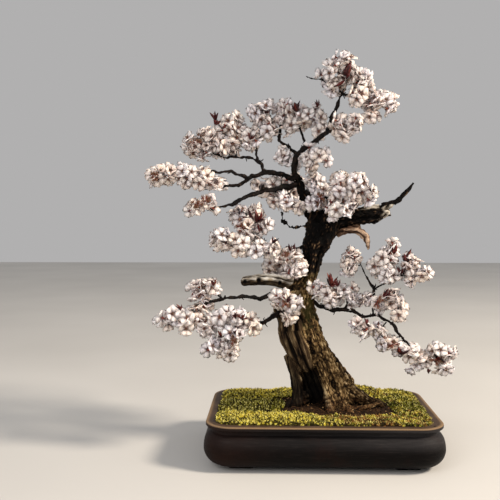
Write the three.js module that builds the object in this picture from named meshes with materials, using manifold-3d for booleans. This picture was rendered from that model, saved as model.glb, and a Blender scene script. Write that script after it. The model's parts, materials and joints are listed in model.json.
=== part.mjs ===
// A flowering plum bonsai in a low stoneware pot.
// Millimetres, +Z up, +X to the right of the front, +Y away from the front.
// The pot is modelled about its own centre with its feet on Z = 0. At the end the whole
// object is moved so that the origin is the middle of its outline, on the surface it stands on.

import * as THREE from 'three';
import { mergeVertices } from 'three/addons/utils/BufferGeometryUtils.js';
import Module from 'manifold-3d';

const wasm = await Module();
wasm.setup();

// ---------------------------------------------------------------- driving dimensions

const GAP = 0.3; // clearance between pieces that touch

const POT_LENGTH = 405; // over the rim, left to right
const POT_DEPTH = 280; // over the rim, front to back
const POT_HEIGHT = 78; // feet to rim
const POT_CORNER = 48; // plan radius of the rim's corners
const RIM_WIDTH = 15; // flat top of the rim
const LIP_HEIGHT = 7; // edge of the rim flange
const NECK_HEIGHT = 9; // recessed band under the flange
const NECK_INSET = 10; // how far the recessed band lies in from the rim's edge
const BELLY_BULGE = 4; // how far the body swells past the rim's edge
const BASE_INSET = 24; // how far the underside lies in from the rim's edge
const WALL = 9; // wall at the belly
const FLOOR = 8; // thickness of the pot's floor
const FOOT_HEIGHT = 6;
const FOOT_LENGTH = 46;
const FOOT_DEPTH = 24;

const DRAIN_RADIUS = 11;
const DRAIN_SPACING = 160; // between the two drainage holes
const SCREEN_SIDE = 36; // square mesh over each hole
const SCREEN_THICKNESS = 1.2;
const CLIP_WIRE = 2.4; // diameter of the wire that holds a screen
const CLIP_SPAN = 16; // between the two legs of a clip
const CLIP_FOOT = 9; // bent end of each leg, under the floor

const SOIL_BELOW_RIM = 10; // where the soil meets the wall
const SOIL_CROWN = 17; // how far the soil rises from there to its crown
const MOSS_CLEARANCE = 0.6; // moss to the pot's inner wall

const TREE_HEIGHT = 640; // from the soil at the trunk to the topmost blossom
const TRUNK_X = 25; // where the trunk stands, from the pot's centre
const TRUNK_Y = 5;
const TRUNK_ABOVE_RIM = 6; // level of the soil at the trunk, over the rim

// The limbs and blossoms below are written for a tree of this height, and grow with it.
const DRAWN_HEIGHT = 640;

const TRUNK_SIDES = 8; // flats round a trunk limb
const TWIG_SIDES = 5; // flats round a branch
const CORNER_STEPS = 4; // segments in each rounded corner of the pot

// ---------------------------------------------------------------- finishes

const finish = (color, roughness, metalness = 0) =>
  new THREE.MeshStandardMaterial({ color, roughness, metalness });

const STONEWARE = finish(0x2c221d, 0.6);
const SOIL = finish(0x2a1f16, 0.95);
const MOSS = finish(0x8d8f26, 0.95);
const BARK = finish(0x3b2c20, 0.9);
const BLOSSOM = finish(0xf3e8e8, 0.7);
const RED_LEAF = finish(0x6d1f20, 0.6);
const BLACK_MESH = finish(0x1b1b1b, 0.7);
const ALUMINIUM_WIRE = finish(0xb5b5b8, 0.35, 1);

// ---------------------------------------------------------------- solids

function toSolid(geometry) {
  const bare = geometry.clone();
  bare.deleteAttribute('normal');
  bare.deleteAttribute('uv');
  const welded = mergeVertices(bare, 1e-3);
  return new wasm.Manifold(new wasm.Mesh({
    numProp: 3,
    vertProperties: Float32Array.from(welded.attributes.position.array),
    triVerts: Uint32Array.from(welded.index.array),
  }));
}

function toGeometry(solid) {
  const mesh = solid.getMesh();
  const geometry = new THREE.BufferGeometry();
  geometry.setAttribute('position', new THREE.BufferAttribute(mesh.vertProperties, 3));
  geometry.setIndex(new THREE.BufferAttribute(mesh.triVerts, 1));
  geometry.computeVertexNormals();
  return geometry;
}

const joined = (solids) => solids.reduce((whole, solid) => whole.add(solid));

const boxesMeet = (a, b) => [0, 1, 2].every((i) => a.min[i] <= b.max[i] && b.min[i] <= a.max[i]);

// What is left of a solid once its neighbours, each already grown by the gap, are cut away.
function clearOf(solid, neighbours) {
  const near = neighbours.filter((other) => boxesMeet(solid.boundingBox(), other.boundingBox()));
  return near.reduce((left, other) => left.subtract(other), solid);
}

// The main body of a solid, without the crumbs that a cut leaves at its edges.
function mainBody(solid) {
  const bodies = solid.decompose();
  return bodies.reduce((main, body) => (body.volume() > main.volume() ? body : main));
}

// A closed skin over rings of points, each ring anticlockwise seen from the next one's side.
function loft(rings, startTip, endTip) {
  const count = rings[0].length;
  const points = [...rings.flat(), startTip, endTip];
  const start = points.length - 2;
  const end = points.length - 1;
  const last = (rings.length - 1) * count;
  const faces = [];
  for (let i = 0; i < count; i += 1) {
    const next = (i + 1) % count;
    faces.push(start, next, i);
    faces.push(end, last + i, last + next);
    for (let base = 0; base < last; base += count) {
      faces.push(base + i, base + next, base + count + next);
      faces.push(base + i, base + count + next, base + count + i);
    }
  }
  const geometry = new THREE.BufferGeometry().setFromPoints(points);
  geometry.setIndex(faces);
  return geometry;
}

const middleOf = (ring) =>
  ring.reduce((sum, point) => sum.add(point), new THREE.Vector3()).divideScalar(ring.length);

const flatLoft = (rings) => loft(rings, middleOf(rings[0]), middleOf(rings[rings.length - 1]));

// A level rounded rectangle, anticlockwise from above.
function roundedRing(halfX, halfY, radius, z, steps = CORNER_STEPS) {
  const ring = [];
  for (let corner = 0; corner < 4; corner += 1) {
    const toRight = corner === 0 || corner === 3;
    const toBack = corner < 2;
    const cx = (halfX - radius) * (toRight ? 1 : -1);
    const cy = (halfY - radius) * (toBack ? 1 : -1);
    for (let i = 0; i <= steps; i += 1) {
      const turn = (corner + i / steps) * (Math.PI / 2);
      ring.push(new THREE.Vector3(cx + radius * Math.cos(turn), cy + radius * Math.sin(turn), z));
    }
  }
  return ring;
}

// A tapering limb through [x, y, z, radius] points, with domed ends. grown adds to every side.
function limb(route, sides, grown = 0) {
  const curve = new THREE.CatmullRomCurve3(
    route.map(([x, y, z]) => new THREE.Vector3(x, y, z)), false, 'centripetal');
  const spans = route.length - 1;
  const frames = curve.computeFrenetFrames(spans, false);
  const radiusAt = (u) => {
    const place = Math.min(curve.getUtoTmapping(u) * spans, spans - 1e-6);
    const before = Math.floor(place);
    return THREE.MathUtils.lerp(route[before][3], route[before + 1][3], place - before) + grown;
  };
  const rings = [];
  for (let i = 0; i <= spans; i += 1) {
    const centre = curve.getPointAt(i / spans);
    const radius = radiusAt(i / spans);
    const ring = [];
    for (let side = 0; side < sides; side += 1) {
      const turn = (side / sides) * 2 * Math.PI;
      ring.push(centre.clone()
        .addScaledVector(frames.normals[i], radius * Math.cos(turn))
        .addScaledVector(frames.binormals[i], radius * Math.sin(turn)));
    }
    rings.push(ring);
  }
  const tip = (u, frame, way) => curve.getPointAt(u)
    .addScaledVector(frames.tangents[frame], way * (0.45 * radiusAt(u) + grown));
  return toSolid(loft(rings, tip(0, 0, -1), tip(1, spans, 1)));
}

// An egg-shaped lump of three radii about a centre. Its few flats are drawn fat, so that they
// stand about where the round surface would.
const LUMP_SWELL = 1.12;

function lump([x, y, z], [rx, ry, rz], around = 6, layers = 3) {
  const ball = new THREE.SphereGeometry(1, around, layers);
  ball.rotateX(Math.PI / 2);
  ball.scale(LUMP_SWELL, LUMP_SWELL, 1);
  ball.scale(rx, ry, rz);
  ball.translate(x, y, z);
  return toSolid(ball);
}

// ---------------------------------------------------------------- nodes

const nodes = [];
const plant = new THREE.Group();

function addNode(name, solid, material) {
  const mesh = new THREE.Mesh(toGeometry(solid), material);
  mesh.name = name;
  plant.add(mesh);
  nodes.push(mesh);
}

// ---------------------------------------------------------------- pot

const SHOULDER = POT_HEIGHT - LIP_HEIGHT - NECK_HEIGHT; // where the body meets the neck
const BELLY_MIDDLE = (FOOT_HEIGHT + SHOULDER) / 2;
const BELLY_HALF = (SHOULDER - FOOT_HEIGHT) / 2;
const FLOOR_TOP = FOOT_HEIGHT + FLOOR;

const potRing = (inset, z) =>
  roundedRing(POT_LENGTH / 2 - inset, POT_DEPTH / 2 - inset, Math.max(POT_CORNER - inset, 12), z);

// A quarter of the belly's curve: insets swing from widest, at the middle, to reach.
function bellyInset(reach, height) {
  return -BELLY_BULGE + (reach + BELLY_BULGE) * (1 - Math.sqrt(Math.max(1 - height ** 2, 0)));
}

function outerProfile() {
  const profile = [];
  [-1, -0.93, -0.75, -0.45, 0].forEach((height) => {
    profile.push([bellyInset(BASE_INSET, height), BELLY_MIDDLE + height * BELLY_HALF]);
  });
  [0.45, 0.75, 0.93].forEach((height) => {
    profile.push([bellyInset(NECK_INSET - 1, height), BELLY_MIDDLE + height * BELLY_HALF]);
  });
  profile.push([NECK_INSET, SHOULDER + 1]);
  profile.push([NECK_INSET, POT_HEIGHT - LIP_HEIGHT - 2]);
  profile.push([2, POT_HEIGHT - LIP_HEIGHT]);
  profile.push([0, POT_HEIGHT - LIP_HEIGHT + 2]);
  profile.push([0, POT_HEIGHT - 2]);
  profile.push([2, POT_HEIGHT]);
  return profile;
}

// From the floor up to just under the rim; the soil fills the same profile.
function innerProfile() {
  return [
    [BASE_INSET + 4, FLOOR_TOP],
    [BASE_INSET - 9, FLOOR_TOP + 4],
    [WALL - BELLY_BULGE, BELLY_MIDDLE - 2],
    [WALL - BELLY_BULGE + 1, BELLY_MIDDLE + 10],
    [RIM_WIDTH + 1, SHOULDER - 1],
    [RIM_WIDTH + 1, POT_HEIGHT - SOIL_BELOW_RIM],
  ];
}

function feet() {
  const x = POT_LENGTH / 2 - BASE_INSET - FOOT_LENGTH / 2 - 14;
  const y = POT_DEPTH / 2 - BASE_INSET - FOOT_DEPTH / 2 - 6;
  return [[-x, -y], [x, -y], [x, y], [-x, y]].map(([fx, fy]) => {
    const foot = flatLoft([
      roundedRing(FOOT_LENGTH / 2 - 2, FOOT_DEPTH / 2 - 2, 7, 0, 2),
      roundedRing(FOOT_LENGTH / 2, FOOT_DEPTH / 2, 8, FOOT_HEIGHT + FLOOR / 2, 2),
    ]);
    foot.translate(fx, fy, 0);
    return toSolid(foot);
  });
}

const drainPlaces = [-DRAIN_SPACING / 2, DRAIN_SPACING / 2];

function drain(x) {
  const bore = new THREE.CylinderGeometry(DRAIN_RADIUS, DRAIN_RADIUS, FLOOR * 3, 12);
  bore.rotateX(Math.PI / 2);
  bore.translate(x, 0, FOOT_HEIGHT + FLOOR / 2);
  return toSolid(bore);
}

function pot() {
  const rimInside = [[RIM_WIDTH - 1, POT_HEIGHT], [RIM_WIDTH, POT_HEIGHT - 1.5]];
  const profile = [...outerProfile(), ...rimInside, ...innerProfile().reverse()];
  const body = toSolid(flatLoft(profile.map(([inset, z]) => potRing(inset, z))));
  return clearOf(joined([body, ...feet()]), drainPlaces.map(drain));
}

addNode('pot', pot(), STONEWARE);

// ---------------------------------------------------------------- drainage screens and clips

// A staple of wire: over the screen, down through the hole and out under the floor.
function clip(x, grown = 0) {
  const bend = 2.5;
  const half = CLIP_SPAN / 2;
  const over = FLOOR_TOP + GAP + SCREEN_THICKNESS + GAP + CLIP_WIRE / 2;
  const under = FOOT_HEIGHT - GAP - CLIP_WIRE / 2;
  const side = (way) => [
    [way * (half + CLIP_FOOT), under],
    [way * (half + bend), under],
    [way * half, under + bend],
    [way * half, over - bend],
    [way * (half - bend), over],
  ];
  const route = [...side(-1), ...side(1).reverse()];
  const points = route.map(([along, z]) => [x, along, z, CLIP_WIRE / 2]);
  return limb(points, TWIG_SIDES, grown);
}

function screen(x, grown = 0) {
  const side = SCREEN_SIDE + 2 * grown;
  const sheet = new THREE.BoxGeometry(side, side, SCREEN_THICKNESS + 2 * grown);
  sheet.translate(x, 0, FLOOR_TOP + GAP + SCREEN_THICKNESS / 2);
  return toSolid(sheet);
}

const drainage = [];
drainPlaces.forEach((x, i) => {
  const side = ['left', 'right'][i];
  addNode(`drain_screen_${side}`, screen(x).subtract(clip(x, GAP)), BLACK_MESH);
  addNode(`drain_clip_${side}`, clip(x), ALUMINIUM_WIRE);
  drainage.push(screen(x, GAP), clip(x, GAP));
});

// ---------------------------------------------------------------- wood

const grow = TREE_HEIGHT / DRAWN_HEIGHT;
const GROUND = POT_HEIGHT + TRUNK_ABOVE_RIM;

// From the tree's own frame, with its origin on the ground at the trunk, to the pot's frame.
const planted = ([x, y, z, ...radii]) => [
  TRUNK_X + x * grow, TRUNK_Y + y * grow, GROUND + z * grow, ...radii.map((r) => r * grow)];

function wood(limbs, sides, grown = 0) {
  return joined(limbs.map((route) => limb(route.map(planted), sides, grown)));
}

// Each limb is a list of [x, y, z, radius] points, from its root outwards.
const TRUNK_LIMBS = [
  // grey deadwood face, up the left of the trunk
  [[-46, -8, 70, 21], [-57, -10, 92, 25], [-70, -5, 120, 27], [-75, -5, 150, 27],
    [-85, 0, 180, 25], [-80, 0, 205, 20]],
  // living bark, up the right, narrowing at the waist and swelling into the shoulder
  [[30, 5, 5, 22], [10, 0, 40, 27], [-15, 0, 75, 24], [-35, -5, 110, 22], [-45, -5, 140, 22],
    [-55, 0, 170, 22], [-55, 0, 200, 22], [-50, 0, 225, 18], [-40, 5, 255, 17],
    [-40, 5, 280, 24], [-30, 5, 305, 31], [-20, 5, 330, 34]],
  // back of the trunk
  [[-10, 30, 5, 30], [-30, 25, 55, 28], [-55, 20, 115, 26], [-65, 15, 160, 24],
    [-60, 10, 205, 18]],
  // back wall, left leg and right rib of the hollow foot
  [[-42, 22, -4, 20], [-50, 18, 45, 18], [-58, 12, 85, 18]],
  [[-67, 0, -10, 13], [-67, -5, 35, 10], [-71, -5, 60, 12], [-76, 0, 88, 15]],
  [[-6, -22, -6, 10], [-9, -18, 25, 10], [-20, -12, 60, 13], [-36, -8, 92, 16]],
  // surface roots
  [[10, 0, 35, 22], [40, 0, 15, 15], [70, 5, 0, 11], [100, 10, -10, 8], [125, 10, -22, 6]],
  [[-10, -25, -8, 7], [25, -30, -5, 6], [55, -30, 0, 5.5], [80, -18, 4, 5.5], [95, 5, -8, 6]],
  [[-4, -12, 25, 13], [-8, -30, 0, 10], [-16, -44, -18, 8]],
  [[0, -10, 25, 16], [15, -25, 5, 11], [30, -45, -15, 8]],
  [[-50, 0, 15, 13], [-70, -10, 0, 9], [-90, -10, -10, 8], [-110, -15, -22, 6]],
  [[-10, 35, 20, 20], [0, 60, 5, 13], [15, 85, -8, 9]],
  [[-30, 35, 20, 18], [-55, 55, 5, 12], [-75, 75, -12, 8]],
  // dead limb on the right, snapped off short
  [[-20, 5, 330, 31], [5, 5, 345, 24], [30, 5, 345, 20], [55, 0, 345, 19], [80, 0, 349, 16],
    [97, -4, 356, 12]],
  // its hooked twig
  [[85, -5, 360, 8], [110, -5, 370, 5.5], [122, -5, 380, 5], [134, -5, 395, 4.5],
    [142, -5, 405, 3]],
  // torn strip of wood under it
  [[0, 0, 315, 9], [20, 0, 320, 8], [40, -5, 320, 7], [55, -5, 310, 7], [61, -5, 285, 2.5]],
  // pale dead stub on the left
  [[-55, 0, 215, 14], [-85, -5, 220, 11], [-120, -10, 230, 10], [-145, -10, 230, 10],
    [-167, -10, 226, 8]],
  // living line up to the crown
  [[-30, 5, 335, 19], [-50, 5, 360, 12], [-60, 5, 390, 9.5], [-66, 5, 416, 8]],
  // bare twig at the left of the shoulder
  [[-40, 0, 335, 5], [-67, -10, 324, 3.5], [-90, -15, 327, 3], [-96, -20, 340, 2],
    [-98, -20, 360, 1.5]],
];

const BRANCHES = {
  crown: [
    [[-66, 5, 408, 7.5], [-76, -5, 438, 6.5], [-69, -8, 455, 6], [-55, -10, 468, 5.5],
      [-31, -12, 482, 5], [-15, -12, 497, 4.5], [-9, -15, 517, 4], [5, -15, 545, 3.5],
      [13, -14, 565, 3]],
    [[12, -14, 562, 3], [34, -2, 560, 2.5], [56, 6, 556, 2]],
    [[-17, -12, 496, 3.5], [2, -24, 500, 2.5]],
    [[12, -14, 563, 2.5], [-10, -5, 586, 2], [-30, 0, 593, 1.7], [-49, 5, 598, 1.5]],
    [[-69, -8, 455, 4.5], [-81, 10, 470, 3.7], [-101, 20, 480, 3.4], [-99, 26, 512, 2.6]],
    [[-55, -10, 468, 3.6], [-56, 10, 488, 3], [-63, 21, 512, 2.4]],
  ],
  upper_left: [
    [[-65, 5, 411, 6.5], [-91, 0, 420, 5.5], [-127, -5, 425, 5], [-154, -10, 416, 4.2],
      [-172, -14, 400, 3.6], [-205, -20, 399, 2.6]],
    [[-158, -11, 412, 3.6], [-181, -22, 424, 3.1], [-226, -33, 423, 2.5]],
    [[-127, -5, 425, 3.7], [-138, 8, 444, 3.1], [-155, 18, 454, 2.8], [-189, 26, 454, 2.4],
      [-219, 32, 459, 2.1]],
    [[-138, 8, 444, 2.8], [-144, 18, 467, 2.2], [-142, 25, 484, 2]],
    [[-181, 24, 454, 2.2], [-182, 29, 468, 2]],
  ],
  left: [
    [[-65, 5, 403, 6.5], [-107, -12, 395, 5.5], [-143, -24, 386, 4.7], [-172, -32, 373, 4],
      [-194, -38, 361, 3.4], [-218, -43, 358, 2.7]],
    [[-132, -20, 389, 3], [-130, -27, 400, 2.3]],
  ],
  jin_side: [
    [[-57, 5, 393, 5], [-38, -12, 381, 4], [-8, -28, 375, 3]],
    [[-42, -10, 383, 3], [-39, -3, 404, 2.2]],
  ],
  middle: [
    [[-48, 2, 292, 5.5], [-78, -14, 280, 4.7], [-103, -22, 283, 4], [-130, -30, 296, 3.2]],
    [[-130, -30, 296, 3], [-137, -23, 312, 2.4]],
  ],
  low_left: [
    [[-77, -8, 202, 6], [-114, -22, 204, 5.2], [-143, -30, 195, 4.6], [-171, -38, 202, 3.8],
      [-198, -44, 197, 3.2], [-225, -50, 192, 2.7], [-258, -55, 180, 2.2]],
    [[-198, -44, 197, 2.5], [-216, -38, 207, 2.1]],
  ],
  low_front: [
    [[-85, -12, 177, 6.2], [-110, -26, 163, 5.4], [-136, -38, 151, 4.6], [-150, -44, 148, 4]],
    [[-108, -25, 164, 3.6], [-97, -42, 183, 2.6]],
  ],
  right: [
    [[-48, -4, 197, 5.5], [-27, -14, 181, 4.7], [0, -22, 174, 4.3], [26, -28, 176, 3.8],
      [47, -32, 165, 3.6], [68, -34, 169, 3.4], [96, -38, 156, 3], [111, -38, 135, 2.7],
      [130, -36, 113, 2.5], [151, -34, 92, 2.3], [180, -35, 89, 1.9]],
    [[66, -34, 168, 3], [70, -30, 194, 2.7], [69, -26, 216, 2.5]],
    [[69, -26, 214, 2.3], [55, -20, 236, 2], [43, -11, 265, 1.7]],
    [[69, -26, 214, 2.3], [90, -30, 226, 2], [120, -36, 241, 1.7]],
    [[16, -26, 175, 2.5], [22, -21, 189, 2]],
    [[46, -32, 165, 2.5], [40, -40, 153, 2]],
  ],
  back_upper: [
    [[-44, 10, 352, 5.6], [-31, 40, 364, 4.5], [-20, 66, 367, 3.9], [-10, 84, 376, 3.2]],
    [[-31, 40, 364, 3.4], [-66, 67, 378, 2.6]],
  ],
  back_low: [
    [[-51, 12, 204, 5.2], [-61, 40, 217, 4.4], [-82, 72, 226, 3.5]],
    [[-61, 40, 217, 3.2], [-40, 64, 222, 2.6]],
  ],
};

const woodGrown = [wood(TRUNK_LIMBS, TRUNK_SIDES, GAP)];
const trunkGrown = woodGrown[0];
addNode('trunk', mainBody(wood(TRUNK_LIMBS, TRUNK_SIDES)), BARK);

Object.entries(BRANCHES).forEach(([name, limbs]) => {
  addNode(`branch_${name}`, mainBody(clearOf(wood(limbs, TWIG_SIDES), woodGrown)), BARK);
  woodGrown.push(wood(limbs, TWIG_SIDES, GAP));
});

// ---------------------------------------------------------------- soil and moss

// The soil fills the pot, then heaps up in rings that shrink towards its crown.
function soil(grown = 0) {
  const edge = POT_HEIGHT - SOIL_BELOW_RIM;
  const rings = innerProfile().map(([inset, z], i) =>
    potRing(inset + GAP - grown, i === 0 ? z + GAP - grown : z));
  const crown = new THREE.Vector3(TRUNK_X + 20, TRUNK_Y + 20, 0);
  const brim = potRing(RIM_WIDTH + 1 + GAP - grown, edge);
  [0.82, 0.58, 0.3].forEach((share) => {
    const rise = SOIL_CROWN * (1 - share ** 2) + grown;
    rings.push(brim.map((point) => {
      const shrunk = point.clone().sub(crown).multiplyScalar(share).add(crown);
      return shrunk.setZ(edge + rise);
    }));
  });
  return toSolid(flatLoft(rings));
}

addNode('soil', mainBody(clearOf(soil(), [trunkGrown, ...drainage])), SOIL);

// Space over the soil that moss may fill, inside the pot's inner wall.
function mossRoom() {
  const inset = RIM_WIDTH + 1 + MOSS_CLEARANCE;
  const top = POT_HEIGHT * 2;
  return toSolid(flatLoft([potRing(inset, FLOOR_TOP), potRing(inset, top)]));
}

// Each pad is a few low humps: [share of the pot's half length, share of its half depth,
// height over the rim], then its radii as [share of the half length, share of the half depth,
// height].
const MOSS_PADS = {
  back_left: [[[-0.64, 0.62, -5], [0.375, 0.4, 12]], [[-0.2, 0.66, -4], [0.385, 0.37, 14]]],
  middle_left: [[[-0.76, -0.02, -6], [0.295, 0.44, 14]], [[-0.48, -0.02, -5], [0.21, 0.4, 16]]],
  front_left: [[[-0.7, -0.64, -6], [0.375, 0.43, 14]], [[-0.3, -0.68, -5], [0.355, 0.385, 15]]],
  front_right: [[[0.12, -0.74, -7], [0.355, 0.33, 14]], [[0.56, -0.72, -7], [0.395, 0.36, 15]]],
  right: [[[0.78, -0.26, -8], [0.275, 0.515, 14]], [[0.78, 0.3, -7], [0.295, 0.5, 15]]],
  back_right: [[[0.26, 0.7, -2], [0.405, 0.4, 18]], [[0.64, 0.64, -6], [0.345, 0.415, 15]]],
};

function mossPad(humps, grown = 0) {
  return joined(humps.map(([[x, y, z], [rx, ry, rz]]) => lump(
    [x * POT_LENGTH / 2, y * POT_DEPTH / 2, POT_HEIGHT + z],
    [rx * POT_LENGTH / 2 + grown, ry * POT_DEPTH / 2 + grown, rz + grown], 8, 4)));
}

const mossGrown = [soil(GAP), trunkGrown];
Object.entries(MOSS_PADS).forEach(([name, humps]) => {
  const pad = mossPad(humps).intersect(mossRoom());
  addNode(`moss_${name}`, mainBody(clearOf(pad, mossGrown)), MOSS);
  mossGrown.push(mossPad(humps, GAP));
});

// ---------------------------------------------------------------- blossoms and leaves

// Each bunch of blossom is a few round lumps, [x, y, z, radius], about its twigs.
const BLOSSOMS = {
  apex: [[14, -10, 618, 22], [-8, -14, 600, 22], [26, -10, 592, 24], [48, -5, 588, 20],
    [56, -2, 570, 18], [40, -16, 558, 18], [-2, -2, 575, 16]],
  apex_right: [[72, 11, 555, 24], [99, 15, 550, 22], [66, 5, 532, 16]],
  apex_front: [[6, -28, 509, 16], [28, -34, 508, 18], [17, -30, 492, 13]],
  upper_left_end: [[-261, 36, 480, 22], [-235, 38, 492, 24], [-211, 32, 477, 22],
    [-242, 32, 465, 16]],
  upper_left_crown: [[-189, 40, 515, 23], [-190, 34, 482, 20], [-156, 30, 492, 22],
    [-134, 30, 537, 22], [-120, 25, 508, 22]],
  upper_middle: [[-92, 28, 539, 22], [-63, 26, 530, 22], [-33, 20, 524, 22],
    [-81, 24, 509, 15], [-28, 14, 503, 15]],
  fork: [[-95, 14, 456, 15], [-78, 8, 446, 14]],
  fork_right: [[-49, -14, 456, 15], [-27, -18, 452, 16], [-42, -14, 436, 12]],
  left_tip: [[-321, -40, 415, 18], [-295, -40, 419, 20], [-266, -38, 416, 21],
    [-237, -34, 411, 21], [-213, -26, 404, 14]],
  left_under: [[-252, -46, 363, 14], [-225, -44, 367, 16]],
  left_inner: [[-138, 10, 400, 14], [-116, 12, 402, 16], [-106, 2, 378, 17],
    [-89, -14, 368, 17], [-67, -12, 363, 14]],
  jin_top: [[9, -34, 398, 22], [38, -38, 397, 23], [53, -38, 382, 15], [1, -36, 371, 16],
    [27, -38, 368, 15], [-8, -46, 356, 13], [14, -48, 354, 12]],
  jin_root: [[-39, 0, 412, 16], [-37, -8, 391, 15], [-28, -22, 371, 16]],
  middle_top: [[-172, -12, 347, 20], [-145, -16, 352, 16], [-161, -32, 322, 21],
    [-132, -28, 324, 16]],
  middle_end: [[-206, -44, 302, 21], [-173, -42, 291, 21], [-141, -36, 288, 18],
    [-114, -30, 285, 14]],
  middle_root: [[-77, -24, 270, 16], [-66, -20, 250, 16], [-82, -22, 246, 12]],
  low_left_rise: [[-245, -36, 212, 20], [-221, -40, 217, 16], [-234, -46, 190, 16]],
  low_left_tip: [[-297, -60, 163, 19], [-272, -60, 158, 21], [-249, -58, 165, 19],
    [-231, -62, 149, 19]],
  low_left_mass: [[-203, -58, 164, 18], [-178, -56, 166, 19], [-154, -50, 155, 19],
    [-178, -62, 135, 19], [-213, -66, 118, 17], [-189, -68, 108, 17]],
  trunk_front: [[-96, -50, 196, 16], [-75, -52, 189, 16], [-82, -48, 170, 14]],
  right_root: [[-30, -18, 211, 16], [-7, -24, 197, 19], [18, -16, 206, 17],
    [31, -19, 196, 15]],
  right_rise: [[30, -8, 275, 14], [27, -12, 251, 14]],
  right_fork: [[88, -30, 269, 22], [95, -34, 242, 20], [72, -26, 254, 16],
    [100, -34, 292, 11]],
  right_end: [[136, -38, 260, 18], [152, -40, 242, 16], [132, -38, 230, 14]],
  right_middle: [[56, -28, 196, 14], [74, -34, 187, 14], [99, -36, 199, 18],
    [113, -38, 178, 16]],
  right_under: [[33, -44, 152, 14], [43, -48, 142, 14]],
  low_right_bunch: [[75, -44, 142, 16], [84, -46, 119, 14], [112, -42, 107, 12],
    [96, -44, 119, 12]],
  low_right_mid: [[134, -40, 100, 16], [152, -40, 89, 16], [140, -38, 77, 11]],
  low_right_tip: [[184, -38, 101, 16], [203, -38, 100, 14], [191, -38, 78, 14]],
  back_upper: [[15, 110, 396, 27], [-8, 96, 388, 24], [21, 102, 411, 22]],
  back_left: [[-83, 82, 386, 25], [-106, 84, 401, 23], [-69, 74, 408, 21]],
  back_low_left: [[-105, 104, 246, 27], [-80, 92, 235, 23]],
  back_low_right: [[-28, 84, 203, 21], [-48, 76, 213, 19]],
};

// Each tuft of young leaves: its foot, then the tip of each blade.
const LEAF_TUFTS = {
  apex: [[20, -36, 590], [[12, -48, 606], [26, -50, 604], [4, -44, 594], [30, -44, 590]]],
  upper_left: [[-216, 46, 512], [[-222, 50, 538], [-208, 50, 540], [-230, 48, 526],
    [-202, 46, 528]]],
  middle: [[-142, -34, 338], [[-152, -46, 354], [-138, -48, 358], [-128, -42, 348],
    [-146, -46, 332], [-132, -44, 334]]],
  right: [[-6, -12, 214], [[-14, -16, 236], [-4, -16, 240], [6, -14, 232], [-18, -16, 226]]],
};

const LEAF_WIDTH = 4.5;
const LEAF_THICKNESS = 2;

// A blade is a flattened lump from the tuft's foot to its own tip.
function leafBlade(foot, tip) {
  const from = new THREE.Vector3(...planted(foot));
  const along = new THREE.Vector3(...planted(tip)).sub(from);
  const blade = new THREE.SphereGeometry(1, 4, 4);
  blade.scale(LEAF_WIDTH, along.length() / 2 + LEAF_THICKNESS, LEAF_THICKNESS);
  blade.translate(0, along.length() / 2, 0);
  const upright = new THREE.Vector3(0, 1, 0);
  blade.applyQuaternion(
    new THREE.Quaternion().setFromUnitVectors(upright, along.clone().normalize()));
  blade.translate(from.x, from.y, from.z);
  return toSolid(blade);
}

function bunch(lumps, grown = 0) {
  return joined(lumps.map(planted).map(([x, y, z, radius]) => {
    const reach = radius + grown;
    return lump([x, y, z], [reach, reach, reach]);
  }));
}

const taken = [...woodGrown];
Object.entries(BLOSSOMS).forEach(([name, lumps]) => {
  addNode(`blossoms_${name}`, mainBody(clearOf(bunch(lumps), taken)), BLOSSOM);
  taken.push(bunch(lumps, GAP));
});

Object.entries(LEAF_TUFTS).forEach(([name, [foot, tips]]) => {
  const tuft = joined(tips.map((tip) => leafBlade(foot, tip)));
  addNode(`leaves_${name}`, mainBody(clearOf(tuft, taken)), RED_LEAF);
});

// ---------------------------------------------------------------- origin

const outline = new THREE.Box3().setFromObject(plant);
const middle = outline.getCenter(new THREE.Vector3());
plant.position.set(-middle.x, -middle.y, -outline.min.z);

export default plant;
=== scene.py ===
import json
import math

import bmesh
import bpy
import numpy as np
from mathutils import Matrix, Vector, noise

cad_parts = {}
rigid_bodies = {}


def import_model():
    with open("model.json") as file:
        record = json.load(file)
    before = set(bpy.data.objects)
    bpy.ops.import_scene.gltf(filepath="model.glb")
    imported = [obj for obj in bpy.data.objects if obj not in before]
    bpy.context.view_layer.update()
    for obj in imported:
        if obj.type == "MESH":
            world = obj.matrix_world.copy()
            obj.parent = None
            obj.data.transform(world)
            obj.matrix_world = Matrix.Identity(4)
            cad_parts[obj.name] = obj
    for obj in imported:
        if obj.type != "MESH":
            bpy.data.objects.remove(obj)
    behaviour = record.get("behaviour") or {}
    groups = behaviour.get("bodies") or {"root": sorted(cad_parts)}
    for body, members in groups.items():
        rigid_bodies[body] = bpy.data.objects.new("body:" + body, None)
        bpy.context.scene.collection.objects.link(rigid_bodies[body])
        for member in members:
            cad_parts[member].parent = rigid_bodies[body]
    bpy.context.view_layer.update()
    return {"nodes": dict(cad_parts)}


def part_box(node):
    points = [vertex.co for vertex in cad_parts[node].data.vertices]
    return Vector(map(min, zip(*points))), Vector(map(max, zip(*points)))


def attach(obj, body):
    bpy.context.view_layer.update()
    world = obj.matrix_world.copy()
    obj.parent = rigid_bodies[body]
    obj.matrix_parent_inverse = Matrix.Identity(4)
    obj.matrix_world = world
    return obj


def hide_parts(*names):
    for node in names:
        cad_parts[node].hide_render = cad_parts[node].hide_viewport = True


# A flowering plum bonsai in a low stoneware pot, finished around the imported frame.
# Metres, +Z up, the front faces -Y.

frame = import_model()
node_names = sorted(frame["nodes"])

MM = 0.001

# ---------------------------------------------------------------- finishes: the shader kit


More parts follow.
